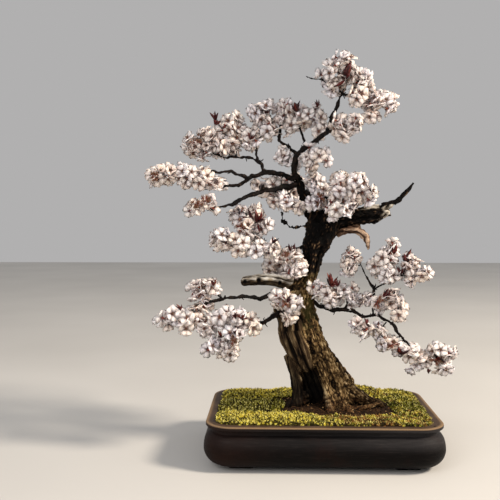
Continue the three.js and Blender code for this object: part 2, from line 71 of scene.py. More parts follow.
class Signal:
    """One output in a finish's nodes. Arithmetic on it adds Math nodes."""

    def __init__(self, finish, socket):
        self.finish = finish
        self.socket = socket

    def __add__(self, other):
        return self.finish.maths("ADD", self, other)

    def __sub__(self, other):
        return self.finish.maths("SUBTRACT", self, other)

    def __rsub__(self, other):
        return self.finish.maths("SUBTRACT", other, self)

    def __mul__(self, other):
        return self.finish.maths("MULTIPLY", self, other)

    __radd__ = __add__
    __rmul__ = __mul__


class Finish:
    """A procedural material on one Principled shader."""

    def __init__(self, name, **constants):
        self.material = bpy.data.materials.new(name)
        self.material.use_nodes = True
        self.tree = self.material.node_tree
        self.shader = self.tree.nodes["Principled BSDF"]
        for socket, value in constants.items():
            self.shader.inputs[socket.replace("_", " ")].default_value = value

    def plug(self, socket, value):
        if isinstance(value, Signal):
            self.tree.links.new(value.socket, socket)
        else:
            socket.default_value = value

    def node(self, kind, settings=None, sockets=None, output=0):
        """Adds a node: first its settings, or a ramp's stops, then its sockets."""
        made = self.tree.nodes.new(kind)
        for setting, value in (settings or {}).items():
            if setting == "stops":
                ramp = made.color_ramp.elements
                while len(ramp) < len(value):
                    ramp.new(0.5)
                for element, (place, colour) in zip(ramp, value):
                    element.position = place
                    element.color = (*colour, 1.0)
            else:
                setattr(made, setting, value)
        for socket, value in (sockets or {}).items():
            self.plug(made.inputs[socket], value)
        return Signal(self, made.outputs[output])

    def maths(self, operation, first, second=0.0):
        return self.node("ShaderNodeMath", {"operation": operation}, {0: first, 1: second})

    def place(self):
        return self.node("ShaderNodeTexCoord", output="Object")

    def along(self, place, axis):
        """One coordinate of a place."""
        return self.node("ShaderNodeSeparateXYZ", None, {0: place}, axis)

    def stretched(self, place, scale):
        """Coordinates that a pattern is drawn out along, by scale."""
        return self.node("ShaderNodeMapping", None, {"Vector": place, "Scale": scale})

    def grain(self, place, size, detail=3.0, roughness=0.55):
        """Noise from 0 to 1 whose features are about size metres across."""
        sockets = {"Vector": place, "Scale": 1 / size, "Detail": detail, "Roughness": roughness}
        return self.node("ShaderNodeTexNoise", None, sockets)

    def value(self, name):
        """A number that the mesh carries at each vertex."""
        return self.node("ShaderNodeAttribute", {"attribute_name": name}, output="Fac")

    def blend(self, first, second, share):
        """From the first colour to the second."""
        settings = {"data_type": "RGBA", "clamp_factor": True}
        return self.node("ShaderNodeMix", settings, {0: share, 6: first, 7: second}, 2)

    def ramp(self, value, *stops):
        return self.node("ShaderNodeValToRGB", {"stops": stops}, {"Fac": value})

    def step(self, value, low, high):
        """0 below low, 1 above high, smooth between."""
        settings = {"interpolation_type": "SMOOTHSTEP"}
        return self.node("ShaderNodeMapRange", settings, {0: value, 1: low, 2: high})

    def wear(self, colour, roughness=None, height=None, depth=0.5 * MM, strength=0.6):
        """Sends the varying colour, roughness and relief to the shader."""
        self.plug(self.shader.inputs["Base Color"], colour)
        if roughness is not None:
            self.plug(self.shader.inputs["Roughness"], roughness)
        if height is not None:
            sockets = {"Strength": strength, "Distance": depth, "Height": height}
            bump = self.node("ShaderNodeBump", None, sockets)
            self.plug(self.shader.inputs["Normal"], bump)
        return self.material


def rgb(red, green, blue):
    """A colour from its display values, 0 to 255, in the shader's linear ones."""
    return tuple((level / 255) ** 2.2 for level in (red, green, blue)) + (1.0,)


def stop(place, red, green, blue):
    return place, rgb(red, green, blue)[:3]


# ---------------------------------------------------------------- shapes: the bench tools


def finished(mesh, name, material, replaced=(), smooth=True):
    """Puts a mesh in the scene as a piece that rides on the plant's body."""
    mesh.name = name
    mesh.materials.clear()
    mesh.materials.append(material)
    if smooth:
        mesh.shade_smooth()
    else:
        mesh.shade_flat()
    piece = bpy.data.objects.new(name, mesh)
    bpy.context.scene.collection.objects.link(piece)
    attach(piece, "root")
    if replaced:
        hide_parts(*replaced)


def mesh_of(bm):
    mesh = bpy.data.meshes.new("shape")
    bm.to_mesh(mesh)
    bm.free()
    return mesh


def copy_of(*names):
    """The CAD nodes' surfaces together in one bmesh, with their vertices joined."""
    bm = bmesh.new()
    for name in names:
        bm.from_mesh(frame["nodes"][name].data)
    bmesh.ops.remove_doubles(bm, verts=bm.verts, dist=0.001 * MM)
    return bm


def settled(bm, modify):
    """The mesh that a bmesh becomes under modifiers, which modify(object) adds."""
    rough = bpy.data.objects.new("rough", mesh_of(bm))
    bpy.context.scene.collection.objects.link(rough)
    modify(rough)
    bpy.context.view_layer.update()
    graph = bpy.context.evaluated_depsgraph_get()
    mesh = bpy.data.meshes.new_from_object(rough.evaluated_get(graph))
    unused = rough.data
    bpy.data.objects.remove(rough)
    bpy.data.meshes.remove(unused)
    return mesh


def even_skin(bm, size, rounds):
    """One skin of small even faces over the solids in bm, relaxed so that no flats show."""

    def remesh(rough):
        remesher = rough.modifiers.new("even", "REMESH")
        remesher.mode = "VOXEL"
        remesher.voxel_size = size

    skin = bmesh.new()
    mesh = settled(bm, remesh)
    skin.from_mesh(mesh)
    bpy.data.meshes.remove(mesh)
    for _ in range(rounds):
        bmesh.ops.smooth_vert(
            skin, verts=skin.verts, factor=0.5, use_axis_x=True, use_axis_y=True, use_axis_z=True)
    return mesh_of(skin)


def points_of(mesh):
    spots = np.zeros(len(mesh.vertices) * 3)
    mesh.vertices.foreach_get("co", spots)
    return spots.reshape(-1, 3)


def normals_of(mesh):
    ways = np.zeros(len(mesh.vertices) * 3)
    mesh.vertices.foreach_get("normal", ways)
    return ways.reshape(-1, 3)


def raised(mesh, heights):
    """Moves each vertex out along its normal by its height."""
    moved = points_of(mesh) + normals_of(mesh) * heights[:, None]
    mesh.vertices.foreach_set("co", moved.ravel())
    mesh.update()


def carry(mesh, name, values):
    """Stores a number on each vertex, for the finish to read."""
    layer = mesh.attributes.new(name, "FLOAT", "POINT")
    layer.data.foreach_set("value", np.asarray(values, dtype=np.float32))


def carry_vector(mesh, name, values):
    layer = mesh.attributes.new(name, "FLOAT_VECTOR", "POINT")
    layer.data.foreach_set("vector", np.asarray(values, dtype=np.float32).ravel())


def bumps(places, size, shift=0.0):
    """Smooth noise, -1 to 1, with features of about size metres."""
    return np.array([noise.noise(place) for place in (places / size + shift)])


def ridges(places, size, shift=0.0):
    """Noise that peaks in thin ridges, 0 to 1."""
    return 1 - np.minimum(np.abs(bumps(places, size, shift)) * 2.2, 1)


def plates(places, size, shift=0.0):
    """0 along the cracks between cells of about size metres, rising inside each."""
    gaps = []
    for place in places / size + shift:
        near = noise.voronoi(place)[0]
        gaps.append(near[1] - near[0])
    return np.minimum(np.array(gaps) * 1.6, 1)


def smooth_step(values, low, high):
    share = np.clip((values - low) / (high - low), 0, 1)
    return share * share * (3 - 2 * share)


def tubes(routes, sides):
    """Closed round rods along routes of (point, radius), all in one mesh."""
    curve = bpy.data.curves.new("rods", "CURVE")
    curve.dimensions = "3D"
    curve.bevel_mode = "ROUND"
    curve.bevel_depth = 1.0
    curve.bevel_resolution = (sides - 4) // 2
    curve.use_fill_caps = True
    for route in routes:
        spline = curve.splines.new("POLY")
        spline.points.add(len(route) - 1)
        for knot, (spot, radius) in zip(spline.points, route):
            knot.co = (*spot, 1.0)
            knot.radius = radius
    rods = bpy.data.objects.new("rods", curve)
    bpy.context.scene.collection.objects.link(rods)
    bpy.context.view_layer.update()
    graph = bpy.context.evaluated_depsgraph_get()
    mesh = bpy.data.meshes.new_from_object(rods.evaluated_get(graph))
    bpy.data.objects.remove(rods)
    bpy.data.curves.remove(curve)
    return mesh


def bow(start, end, sag, radii, steps):
    """A route from start to end that bows aside by the vector sag."""
    route = []
    for step in range(steps + 1):
        share = step / steps
        spot = start.lerp(end, share) + sag * (4 * share * (1 - share))
        route.append((spot, radii[0] + (radii[1] - radii[0]) * share))
    return route


def pick(shapes, chance):
    return shapes[int(chance.integers(len(shapes)))]


class Stock:
    """A small shape that is made once and set out many times."""

    def __init__(self, bm):
        reach = bm.verts.layers.float.get("reach")
        bm.verts.index_update()
        self.points = np.array([list(spot.co) for spot in bm.verts])
        self.faces = [[spot.index for spot in face.verts] for face in bm.faces]
        self.reach = [spot[reach] if reach else 0.0 for spot in bm.verts]
        bm.free()


def set_out(copies):
    """One mesh of many copies, each given as (stock, matrix, tint)."""
    points, faces, reach, tints = [], [], [], []
    count = 0
    for stock, matrix, tint in copies:
        turn = np.array(matrix.to_3x3())
        points.append(stock.points @ turn.T + np.array(matrix.translation))
        faces.extend([corner + count for corner in face] for face in stock.faces)
        reach.extend(stock.reach)
        tints.extend([tint] * len(stock.points))
        count += len(stock.points)
    mesh = bpy.data.meshes.new("copies")
    mesh.from_pydata(np.concatenate(points).tolist(), [], faces)
    carry(mesh, "reach", reach)
    carry(mesh, "tint", tints)
    return mesh


def facing(spot, way, spin, size=1.0):
    """A matrix that stands a shape on spot with its +Z along way."""
    turn = way.to_track_quat("Z", "Y").to_matrix().to_4x4()
    return Matrix.Translation(spot) @ turn @ Matrix.Rotation(spin, 4, "Z") @ Matrix.Scale(size, 4)


# ---------------------------------------------------------------- pot

POT_CORNER = 48 * MM
RIM_WIDTH = 15 * MM
LIP_HEIGHT = 7 * MM
NECK_HEIGHT = 9 * MM
NECK_INSET = 10 * MM
BELLY_BULGE = 4 * MM
BASE_INSET = 24 * MM
WALL = 9 * MM
FLOOR = 8 * MM
FOOT_HEIGHT = 6 * MM
FOOT_LENGTH = 46 * MM
FOOT_DEPTH = 24 * MM
SOIL_BELOW_RIM = 10 * MM
DRAIN_RADIUS = 11 * MM

pot_low, pot_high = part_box("pot")
pot_middle = (pot_low + pot_high) / 2
pot_top = pot_high.z
half_length = (pot_high.x - pot_low.x) / 2 - BELLY_BULGE
half_depth = (pot_high.y - pot_low.y) / 2 - BELLY_BULGE
shoulder = pot_top - LIP_HEIGHT - NECK_HEIGHT
belly_middle = (FOOT_HEIGHT + shoulder) / 2
belly_half = (shoulder - FOOT_HEIGHT) / 2

CORNER_STEPS = 12
LONG_STEPS = 26
SHORT_STEPS = 16
LIP_STEPS = 4


def plan_outline(inset):
    """Points round the pot's rounded rectangle, drawn in by inset, anticlockwise."""
    radius = max(POT_CORNER - inset, 12 * MM)
    reach_x = half_length - inset - radius
    reach_y = half_depth - inset - radius
    outline = []
    for corner, (side_x, side_y) in enumerate([(1, 1), (-1, 1), (-1, -1), (1, -1)]):
        straight = LONG_STEPS if corner % 2 == 0 else SHORT_STEPS
        centre = Vector((side_x * reach_x, side_y * reach_y))
        for step in range(CORNER_STEPS + 1):
            angle = (corner + step / CORNER_STEPS) * math.pi / 2
            outline.append(centre + radius * Vector((math.cos(angle), math.sin(angle))))
        follows = [(-1, 1), (-1, -1), (1, -1), (1, 1)][corner]
        end = Vector((follows[0] * reach_x, follows[1] * reach_y))
        end += radius * Vector((math.cos(angle), math.sin(angle)))
        begin = outline[-1]
        for step in range(1, straight):
            outline.append(begin.lerp(end, step / straight))
    return outline


def pot_ring(bm, inset, height):
    """A ring of vertices on the plan outline at one height. Returns its edges."""
    outline = plan_outline(inset)
    made = bmesh.ops.create_circle(bm, segments=len(outline), radius=1.0)["verts"]
    for spot, place in zip(made, outline):
        spot.co = (pot_middle.x + place.x, pot_middle.y + place.y, height)
    return [edge for edge in bm.edges if edge.verts[0] in made and edge.verts[1] in made]


def belly_inset(reach, height):
    """Inset of the belly at height, -1 to 1 about its middle, swinging out to reach."""
    return -BELLY_BULGE + (reach + BELLY_BULGE) * (1 - math.sqrt(max(1 - height ** 2, 0)))


def quarter_round(inset, height, radius, start):
    """Profile points round an edge of the lip, from the angle start, a quarter turn on."""
    turned = []
    for step in range(LIP_STEPS + 1):
        angle = math.radians(start + 90 * step / LIP_STEPS)
        turned.append((inset - radius * math.cos(angle), height + radius * math.sin(angle)))
    return turned


def pot_profile():
    """(inset, height) up the outside, over the rim and down the inside."""
    lip_bottom = pot_top - LIP_HEIGHT
    edge = 1.8 * MM
    profile = []
    for step in range(15):
        height = -1 + step / 14
        profile.append((belly_inset(BASE_INSET, height), belly_middle + height * belly_half))
    for step in range(1, 12):
        height = step / 12
        inset = belly_inset(NECK_INSET - 1 * MM, height)
        profile.append((inset, belly_middle + height * belly_half))
    profile.append((NECK_INSET - 0.4 * MM, shoulder + 0.6 * MM))
    profile.append((NECK_INSET, shoulder + 2.5 * MM))
    profile.append((NECK_INSET, lip_bottom - 3.5 * MM))
    profile.append((NECK_INSET - 0.8 * MM, lip_bottom - 1 * MM))
    profile.append((NECK_INSET - 2.5 * MM, lip_bottom))
    profile += quarter_round(edge, lip_bottom + edge, edge, -90)
    profile += quarter_round(edge, pot_top - edge, edge, 0)
    profile += [(RIM_WIDTH * 0.4, pot_top), (RIM_WIDTH * 0.75, pot_top)]
    profile += [(RIM_WIDTH - 1 * MM, pot_top - 0.2 * MM), (RIM_WIDTH, pot_top - 1.2 * MM)]
    profile += [(RIM_WIDTH + 0.6 * MM, pot_top - SOIL_BELOW_RIM / 2)]
    profile += [(RIM_WIDTH + 1 * MM, pot_top - SOIL_BELOW_RIM), (RIM_WIDTH + 1 * MM, shoulder)]
    profile += [(WALL - 3 * MM, belly_middle + 10 * MM), (WALL - 4 * MM, belly_middle - 2 * MM)]
    profile += [(BASE_INSET - 9 * MM, FOOT_HEIGHT + FLOOR + 4 * MM)]
    profile += [(BASE_INSET + 4 * MM, FOOT_HEIGHT + FLOOR)]
    return profile


def foot(bm, x, y):
    """A low rounded block under a corner of the pot."""
    made = bmesh.ops.create_cube(bm, size=1.0)["verts"]
    size = (FOOT_LENGTH, FOOT_DEPTH, FOOT_HEIGHT + FLOOR / 2)
    bmesh.ops.scale(bm, vec=size, verts=made)
    bmesh.ops.translate(bm, vec=(x, y, size[2] / 2), verts=made)
    uprights = {edge for spot in made for edge in spot.link_edges
                if abs(edge.verts[0].co.z - edge.verts[1].co.z) > size[2] / 2}
    bmesh.ops.bevel(bm, geom=list(uprights), offset=8 * MM, segments=5, profile=0.5,
                    affect="EDGES", material=-1)
    rim = [edge for edge in bm.edges if all(spot.co.z < MM / 2 for spot in edge.verts)]
    bmesh.ops.bevel(bm, geom=rim, offset=1.5 * MM, segments=3, profile=0.5,
                    affect="EDGES", material=-1)


def pot_body():
    bm = bmesh.new()
    rings = [pot_ring(bm, inset, height) for inset, height in pot_profile()]
    for below, above in zip(rings, rings[1:]):
        bmesh.ops.bridge_loops(bm, edges=below + above)
    for ring in (rings[0], rings[-1]):
        bmesh.ops.contextual_create(bm, geom=ring)
    bmesh.ops.recalc_face_normals(bm, faces=bm.faces)
    for spot in bm.verts:
        spot.co.z += noise.noise(spot.co / (70 * MM)) * 0.5 * MM * (spot.co.z / pot_top)
    return bm


def tool(shape, operation):
    """A boolean step for a piece under the knife."""

    def cut(rough):
        cutter = bpy.data.objects.new("cutter", mesh_of(shape))
        bpy.context.scene.collection.objects.link(cutter)
        cutter.hide_render = True
        step = rough.modifiers.new("cut", "BOOLEAN")
        step.operation = operation
        step.solver = "EXACT"
        step.object = cutter

    return cut


def clear_cutters():
    for cutter in [made for made in bpy.data.objects if made.name.startswith("cutter")]:
        bpy.data.objects.remove(cutter)


def pot_with_feet_and_drains():
    feet = bmesh.new()
    foot_x = half_length - BASE_INSET - FOOT_LENGTH / 2 - 14 * MM
    foot_y = half_depth - BASE_INSET - FOOT_DEPTH / 2 - 6 * MM
    for x in (-foot_x, foot_x):
        for y in (-foot_y, foot_y):
            single = bmesh.new()
            foot(single, pot_middle.x + x, pot_middle.y + y)
            feet.from_mesh(mesh_of(single))
    drains = bmesh.new()
    for side in ("left", "right"):
        low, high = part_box(f"drain_screen_{side}")
        middle = (low + high) / 2
        place = Matrix.Translation((middle.x, middle.y, FOOT_HEIGHT + FLOOR / 2))
        bmesh.ops.create_cone(drains, cap_ends=True, segments=40, radius1=DRAIN_RADIUS,
                              radius2=DRAIN_RADIUS, depth=FLOOR * 3, matrix=place)

    def shape(rough):
        tool(feet, "UNION")(rough)
        tool(drains, "DIFFERENCE")(rough)

    mesh = settled(pot_body(), shape)
    clear_cutters()
    return mesh


def in_from_rim(clay, place):
    """How far each point lies in from the rim's outline, seen from above."""
    squares = []
    for axis, middle, half in (("X", pot_middle.x, half_length), ("Y", pot_middle.y, half_depth)):
        away = clay.maths("ABSOLUTE", clay.along(place, axis) - middle)
        past = clay.maths("MAXIMUM", away - (half - POT_CORNER))
        squares.append(past * past)
    return POT_CORNER - clay.maths("SQRT", squares[0] + squares[1])


def stoneware():
    """Unglazed dark brown clay, brushed level, with a paler rubbed rim whose outer edge carries a pale
    line, partly rubbed clay and partly painted highlight, and a painted sheen high on the belly.
    """
    clay = Finish("stoneware", Specular_IOR_Level=0.09)
    place = clay.place()
    height = clay.along(place, "Z")
    across = clay.along(place, "X")
    cloud = clay.grain(place, 55 * MM, 4, 0.6)
    brushed = clay.grain(clay.stretched(place, (0.06, 0.06, 1.0)), 2.2 * MM, 4, 0.65)
    grit = clay.grain(place, 1.1 * MM, 2, 0.7)
    body = clay.ramp(cloud, stop(0.3, 9, 7, 7), stop(0.55, 14, 10, 9), stop(0.75, 28, 16, 12))
    streaks = clay.step(brushed, 0.5, 0.78) * 0.55
    body = clay.blend(body, rgb(38, 34, 32), streaks)
    flash = 1 - clay.step(across, pot_low.x, pot_low.x + 150 * MM)
    body = clay.blend(body, rgb(50, 29, 20), flash * cloud * 0.7)
    # Painted sheen: a grey highlight high on the belly, strongest towards the right end, stands in for
    # the light on the shoulder.
    upper = clay.step(height, pot_top - 42 * MM, pot_top - 24 * MM)
    painted_sheen_side = clay.step(across, pot_high.x - 260 * MM, pot_high.x) * 0.75 + 0.25
    body = clay.blend(body, rgb(78, 75, 76), upper * painted_sheen_side * (brushed + grit * 0.5) * 0.4)
    body = clay.blend(body, rgb(12, 9, 8), clay.step(grit, 0.62, 0.8) * 0.5)
    rim = clay.ramp(cloud + (grit - 0.5) * 0.5, stop(0.25, 48, 38, 31), stop(0.7, 86, 70, 58))
    on_rim = clay.step(height, pot_top - 2.5 * MM, pot_top - 0.6 * MM)
    colour = clay.blend(body, rim, on_rim)
    # The pale tan line round the rim's outer edge is partly rubbed clay and partly a painted highlight
    # along the lip.
    rubbed_and_lit_edge = clay.step(height, pot_top - 2.2 * MM, pot_top - 0.4 * MM) * (grit * 0.9 + 0.15)
    rubbed_and_lit_edge = rubbed_and_lit_edge * (1 - clay.step(in_from_rim(clay, place), 1.5 * MM, 8 * MM))
    colour = clay.blend(colour, rgb(158, 130, 98), rubbed_and_lit_edge)
    rough = 0.36 + cloud * 0.22 + grit * 0.14
    return clay.wear(colour, rough, brushed * 0.8 + grit * 0.5 + cloud * 0.6, 0.8 * MM, 0.7)


def make_pot():
    mesh = pot_with_feet_and_drains()
    finished(mesh, "stoneware_pot", stoneware(), ["pot"])
    mesh.set_sharp_from_angle(angle=math.radians(50))


# ---------------------------------------------------------------- drainage screens and clips

STRANDS = 12
STRAND_THICKNESS = 0.5 * MM


def screen_lattice(side):
    """A square of moulded mesh over a drainage hole."""
    low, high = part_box(f"drain_screen_{side}")
    middle = (low + high) / 2
    reach = (high.x - low.x) / 2 - STRAND_THICKNESS
    bm = bmesh.new()
    bmesh.ops.create_grid(bm, x_segments=STRANDS, y_segments=STRANDS, size=reach)
    bmesh.ops.translate(bm, vec=middle, verts=bm.verts)
    bmesh.ops.wireframe(bm, faces=bm.faces, thickness=STRAND_THICKNESS, use_boundary=True,
                        use_even_offset=True, use_replace=True)
    return mesh_of(bm)


def black_plastic():
    plastic = Finish("screen_plastic", Roughness=0.6)
    scuffs = plastic.grain(plastic.place(), 3 * MM, 3, 0.6)
    colour = plastic.ramp(scuffs, stop(0.35, 20, 20, 21), stop(0.7, 46, 45, 44))
    return plastic.wear(colour, 0.45 + scuffs * 0.35)


def aluminium():
    wire = Finish("bonsai_wire", Roughness=0.35, Metallic=1.0)
    drawn = wire.grain(wire.stretched(wire.place(), (1, 0.08, 0.08)), 0.6 * MM, 2, 0.6)
    colour = wire.ramp(drawn, stop(0.3, 150, 146, 140), stop(0.7, 198, 195, 190))
    return wire.wear(colour, 0.28 + drawn * 0.25)


def clip_wire(side):
    """The CAD clip with its flats smoothed round."""
    return even_skin(copy_of(f"drain_clip_{side}"), 0.45 * MM, 3)


def make_drainage():
    plastic = black_plastic()
    wire = aluminium()
    for side in ("left", "right"):
        finished(screen_lattice(side), f"mesh_screen_{side}", plastic,
                 [f"drain_screen_{side}"], smooth=False)
        finished(clip_wire(side), f"wire_clip_{side}", wire, [f"drain_clip_{side}"])


# ---------------------------------------------------------------- wood

# Where the trunk meets the ground, from the middle of the pot and its rim.
tree_foot = Vector((pot_middle.x + 25 * MM, pot_middle.y + 5 * MM, pot_top + 6 * MM))

# Lines that the grain follows, as [x, y, z, radius] in millimetres from the tree's foot.
GRAIN_LINES = {
    "trunk": [(0, 5, -20, 45), (-30, 5, 60, 42), (-56, 5, 130, 42), (-66, 5, 190, 34),
              (-48, 5, 240, 24), (-36, 5, 290, 30), (-22, 5, 330, 36)],
    "root": [(10, 0, 35, 22), (40, 0, 15, 16), (70, 5, 0, 11), (125, 10, -22, 6)],
    "front_root": [(25, -30, -5, 6), (55, -30, 0, 6), (80, -18, 4, 6)],
    "leg": [(-65, 0, -10, 12), (-65, -5, 35, 10), (-72, -3, 80, 13)],
    "jin": [(-20, 5, 335, 28), (30, 5, 346, 20), (80, 0, 350, 16), (99, -4, 358, 11)],
    "hook": [(90, -5, 362, 7), (122, -5, 380, 5), (142, -5, 405, 3)],
    "torn": [(5, 0, 316, 9), (40, -5, 320, 7), (57, -5, 308, 6), (61, -5, 285, 3)],
    "stub": [(-62, 0, 218, 13), (-120, -10, 230, 10), (-167, -10, 226, 8)],
    "crown": [(-30, 5, 345, 17), (-60, 5, 390, 9.5), (-66, 5, 416, 8)],
}


# How far a fibre's pattern is drawn out along the grain.
DRAWN_OUT = np.array([1, 1, 0.07])


def grain_of(spots):
    """Each point's line, and its place across and along that line."""
    best = np.full(len(spots), 1e9)
    line_number = np.zeros(len(spots), int)
    local = np.zeros((len(spots), 3))
    foot_place = np.array(tree_foot)
    for number, line in enumerate(GRAIN_LINES.values()):
        knots = np.array(line) * MM
        passed = 0.0
        for a, b in zip(knots, knots[1:]):
            start = a[:3] + foot_place
            run = b[:3] - a[:3]
            length = np.linalg.norm(run)
            along = np.clip((spots - start) @ run / length ** 2, 0, 1)
            offset = spots - start - along[:, None] * run
            gap = np.linalg.norm(offset, axis=1) - (a[3] + (b[3] - a[3]) * along)
            nearer = gap < best
            best[nearer] = gap[nearer]
            line_number[nearer] = number
            axis = run / length
            side = np.cross((0.0, 1.0, 0.0), axis)
            side /= np.linalg.norm(side)
            front = np.cross(axis, side)
            local[nearer] = np.stack(
                [offset @ side, offset @ front, passed + along * length], axis=1)[nearer]
            passed += length
    return line_number, local


def is_line(numbers, *names):
    wanted = [list(GRAIN_LINES).index(name) for name in names]
    return np.isin(numbers, wanted).astype(float)


# The hollow in the front of the trunk's foot, painted dark as shade, in millimetres from the tree's
# foot.
FOOT_HOLLOW = (-38, 4, 28)
HOLLOW_REACH = (32, 27, 48)

# Dead knots on the pale stub and on the trunk, in millimetres from the tree's foot.
KNOTS = [((-138, -19, 229), 6), ((-163, -16, 226), 5.5), ((-100, -16, 224), 5), ((-62, -24, 262), 7)]


def wood_kinds(skin, from_foot, numbers, local):
    """Shares of bare deadwood, pale silver and dark old bark at each point. The silver on the jin's
    upper faces is painted highlight; on the stub's top it is bleached wood with painted light from
    above.
    """
    waver = bumps(points_of(skin), 34 * MM) * 8
    upright = normals_of(skin)[:, 2]
    fray = bumps(points_of(skin), 9 * MM)
    left = 1 - smooth_step(local[:, 0] / MM + waver, -4, 6)
    low = 1 - smooth_step(from_foot[:, 2] + waver, 195, 230)
    bare = is_line(numbers, "trunk") * low * left
    bare = np.maximum(bare, is_line(numbers, "leg", "stub", "torn"))
    on_jin = is_line(numbers, "jin")
    jin_end = on_jin * smooth_step(from_foot[:, 0] + fray * 12, 80, 96) * smooth_step(fray, -0.3, 0.3)
    # Painted highlight: a pale line along the jin's upward faces.
    jin_top = on_jin * smooth_step(upright, 0.75, 0.95) * smooth_step(from_foot[:, 0], 44, 62)
    silver = np.maximum(jin_end * 0.8, jin_top)
    bare = np.maximum(bare, silver)
    # The stub's upward faces pale: bleached wood with painted light from above.
    silver = np.maximum(silver, is_line(numbers, "stub") * smooth_step(upright + fray * 0.5, -0.1, 0.7))
    upper = smooth_step(from_foot[:, 2] + waver, 205, 250) * (1 - is_line(numbers, "stub", "torn"))
    return bare, silver, upper


def wood_relief(spots, local, bare, upper):
    """Heights in millimetres, and 0 in the cracks to 1 on the crests, for wood and bark."""
    drawn = local * DRAWN_OUT
    plated = local * np.array([1, 1, 0.36])
    rugged = bumps(spots, 15 * MM, 11.0)
    fissures = ridges(drawn, 7 * MM) * 0.55 + ridges(drawn, 3.2 * MM, 7.3) * 0.45
    hollows = np.maximum(ridges(drawn, 19 * MM, 3.1) - 0.55, 0) / 0.45
    flakes = plates(plated, 4.6 * MM) * 0.55 + bumps(plated, 2.4 * MM, 5.0) * 0.45
    splits = ridges(drawn, 17 * MM, 9.0) ** 2
    dead_height = (0.9 - fissures) * 3.8 - hollows * 5.5 + rugged * 1.4
    bark_height = (flakes - 0.5) * 4.4 + rugged * 2.4 - splits * (2.0 + 2.5 * upper)
    height = dead_height * bare + bark_height * (1 - bare)
    crest = np.where(bare > 0.5, 1 - fissures - hollows * 0.7, flakes - splits * 0.35)
    return height, crest


def knots_on(from_foot):
    """Heights in millimetres of the dead knots' swollen rims and pits, and how dark they are."""
    height = np.zeros(len(from_foot))
    dark = np.zeros(len(from_foot))
    for place, radius in KNOTS:
        away = np.linalg.norm(from_foot - np.array(place), axis=1) / radius
        height += 2.2 * np.exp(-((away - 1.0) / 0.35) ** 2) - 4.0 * np.exp(-(away / 0.7) ** 2)
        dark = np.maximum(dark, 1 - smooth_step(away, 0.55, 0.95))
    return height, dark


def shaded_wood(skin, from_foot, numbers):
    """Painted shade: how dark the hollow foot, the old leg and the underside of the stub are painted,
    as shade falls there.
    """
    pit = np.linalg.norm((from_foot - np.array(FOOT_HOLLOW)) / np.array(HOLLOW_REACH), axis=1)
    hollow = (1 - smooth_step(pit, 0.6, 1.05)) * 0.95
    leg = is_line(numbers, "leg") * (1 - smooth_step(from_foot[:, 2], 35, 96)) * 0.85
    upright = normals_of(skin)[:, 2] + bumps(points_of(skin), 8 * MM, 3.0) * 0.5
    stub = is_line(numbers, "stub") * (1 - smooth_step(upright, -0.5, 0.2)) * 0.7
    return np.maximum(np.maximum(hollow, leg), stub)


def make_trunk():
    skin = even_skin(copy_of("trunk"), 1.5 * MM, 4)
    spots = points_of(skin)
    numbers, local = grain_of(spots)
    from_foot = (spots - np.array(tree_foot)) / MM
    bare, silver, upper = wood_kinds(skin, from_foot, numbers, local)
    height, crest = wood_relief(spots, local, bare, upper)
    thin = is_line(numbers, "hook", "torn", "stub", "crown", "root", "front_root", "leg")
    height *= 1 - 0.45 * thin
    height += is_line(numbers, "hook") * 1.6 + is_line(numbers, "torn", "stub") * 0.8
    height += is_line(numbers, "torn") * bumps(spots, 6 * MM, 2.0) * 2.6
    knot_height, knot_dark = knots_on(from_foot)
    # Dark dead knots, with painted shade in the foot's hollow, on the leg low down and under the stub.
    dark = np.maximum(knot_dark, shaded_wood(skin, from_foot, numbers))
    raised(skin, (height + knot_height) * MM)

    up = from_foot[:, 2]
    green = smooth_step(up, 110, 160) * (1 - smooth_step(up, 215, 250))
    # The root's upward faces: paler where weathered, and painted lighter as sunlit.
    lit_root_top = is_line(numbers, "root") * smooth_step(normals_of(skin)[:, 2], 0.0, 0.7)
    shares = {
        "bare": bare,
        "pale": silver,
        "upper": upper,
        "relief": crest,
        "dark": dark,
        "torn": is_line(numbers, "torn"),
        "green": green * is_line(numbers, "trunk") * smooth_step(local[:, 0] / MM, -14, 2),
        "weathered": lit_root_top,
        "damp": (1 - smooth_step(up, -6, 26)) * (1 - 0.8 * lit_root_top),
    }
    for name, values in shares.items():
        carry(skin, name, values)
    carry_vector(skin, "drawn", local * DRAWN_OUT)
    finished(skin, "trunk_wood", old_wood(), ["trunk"])


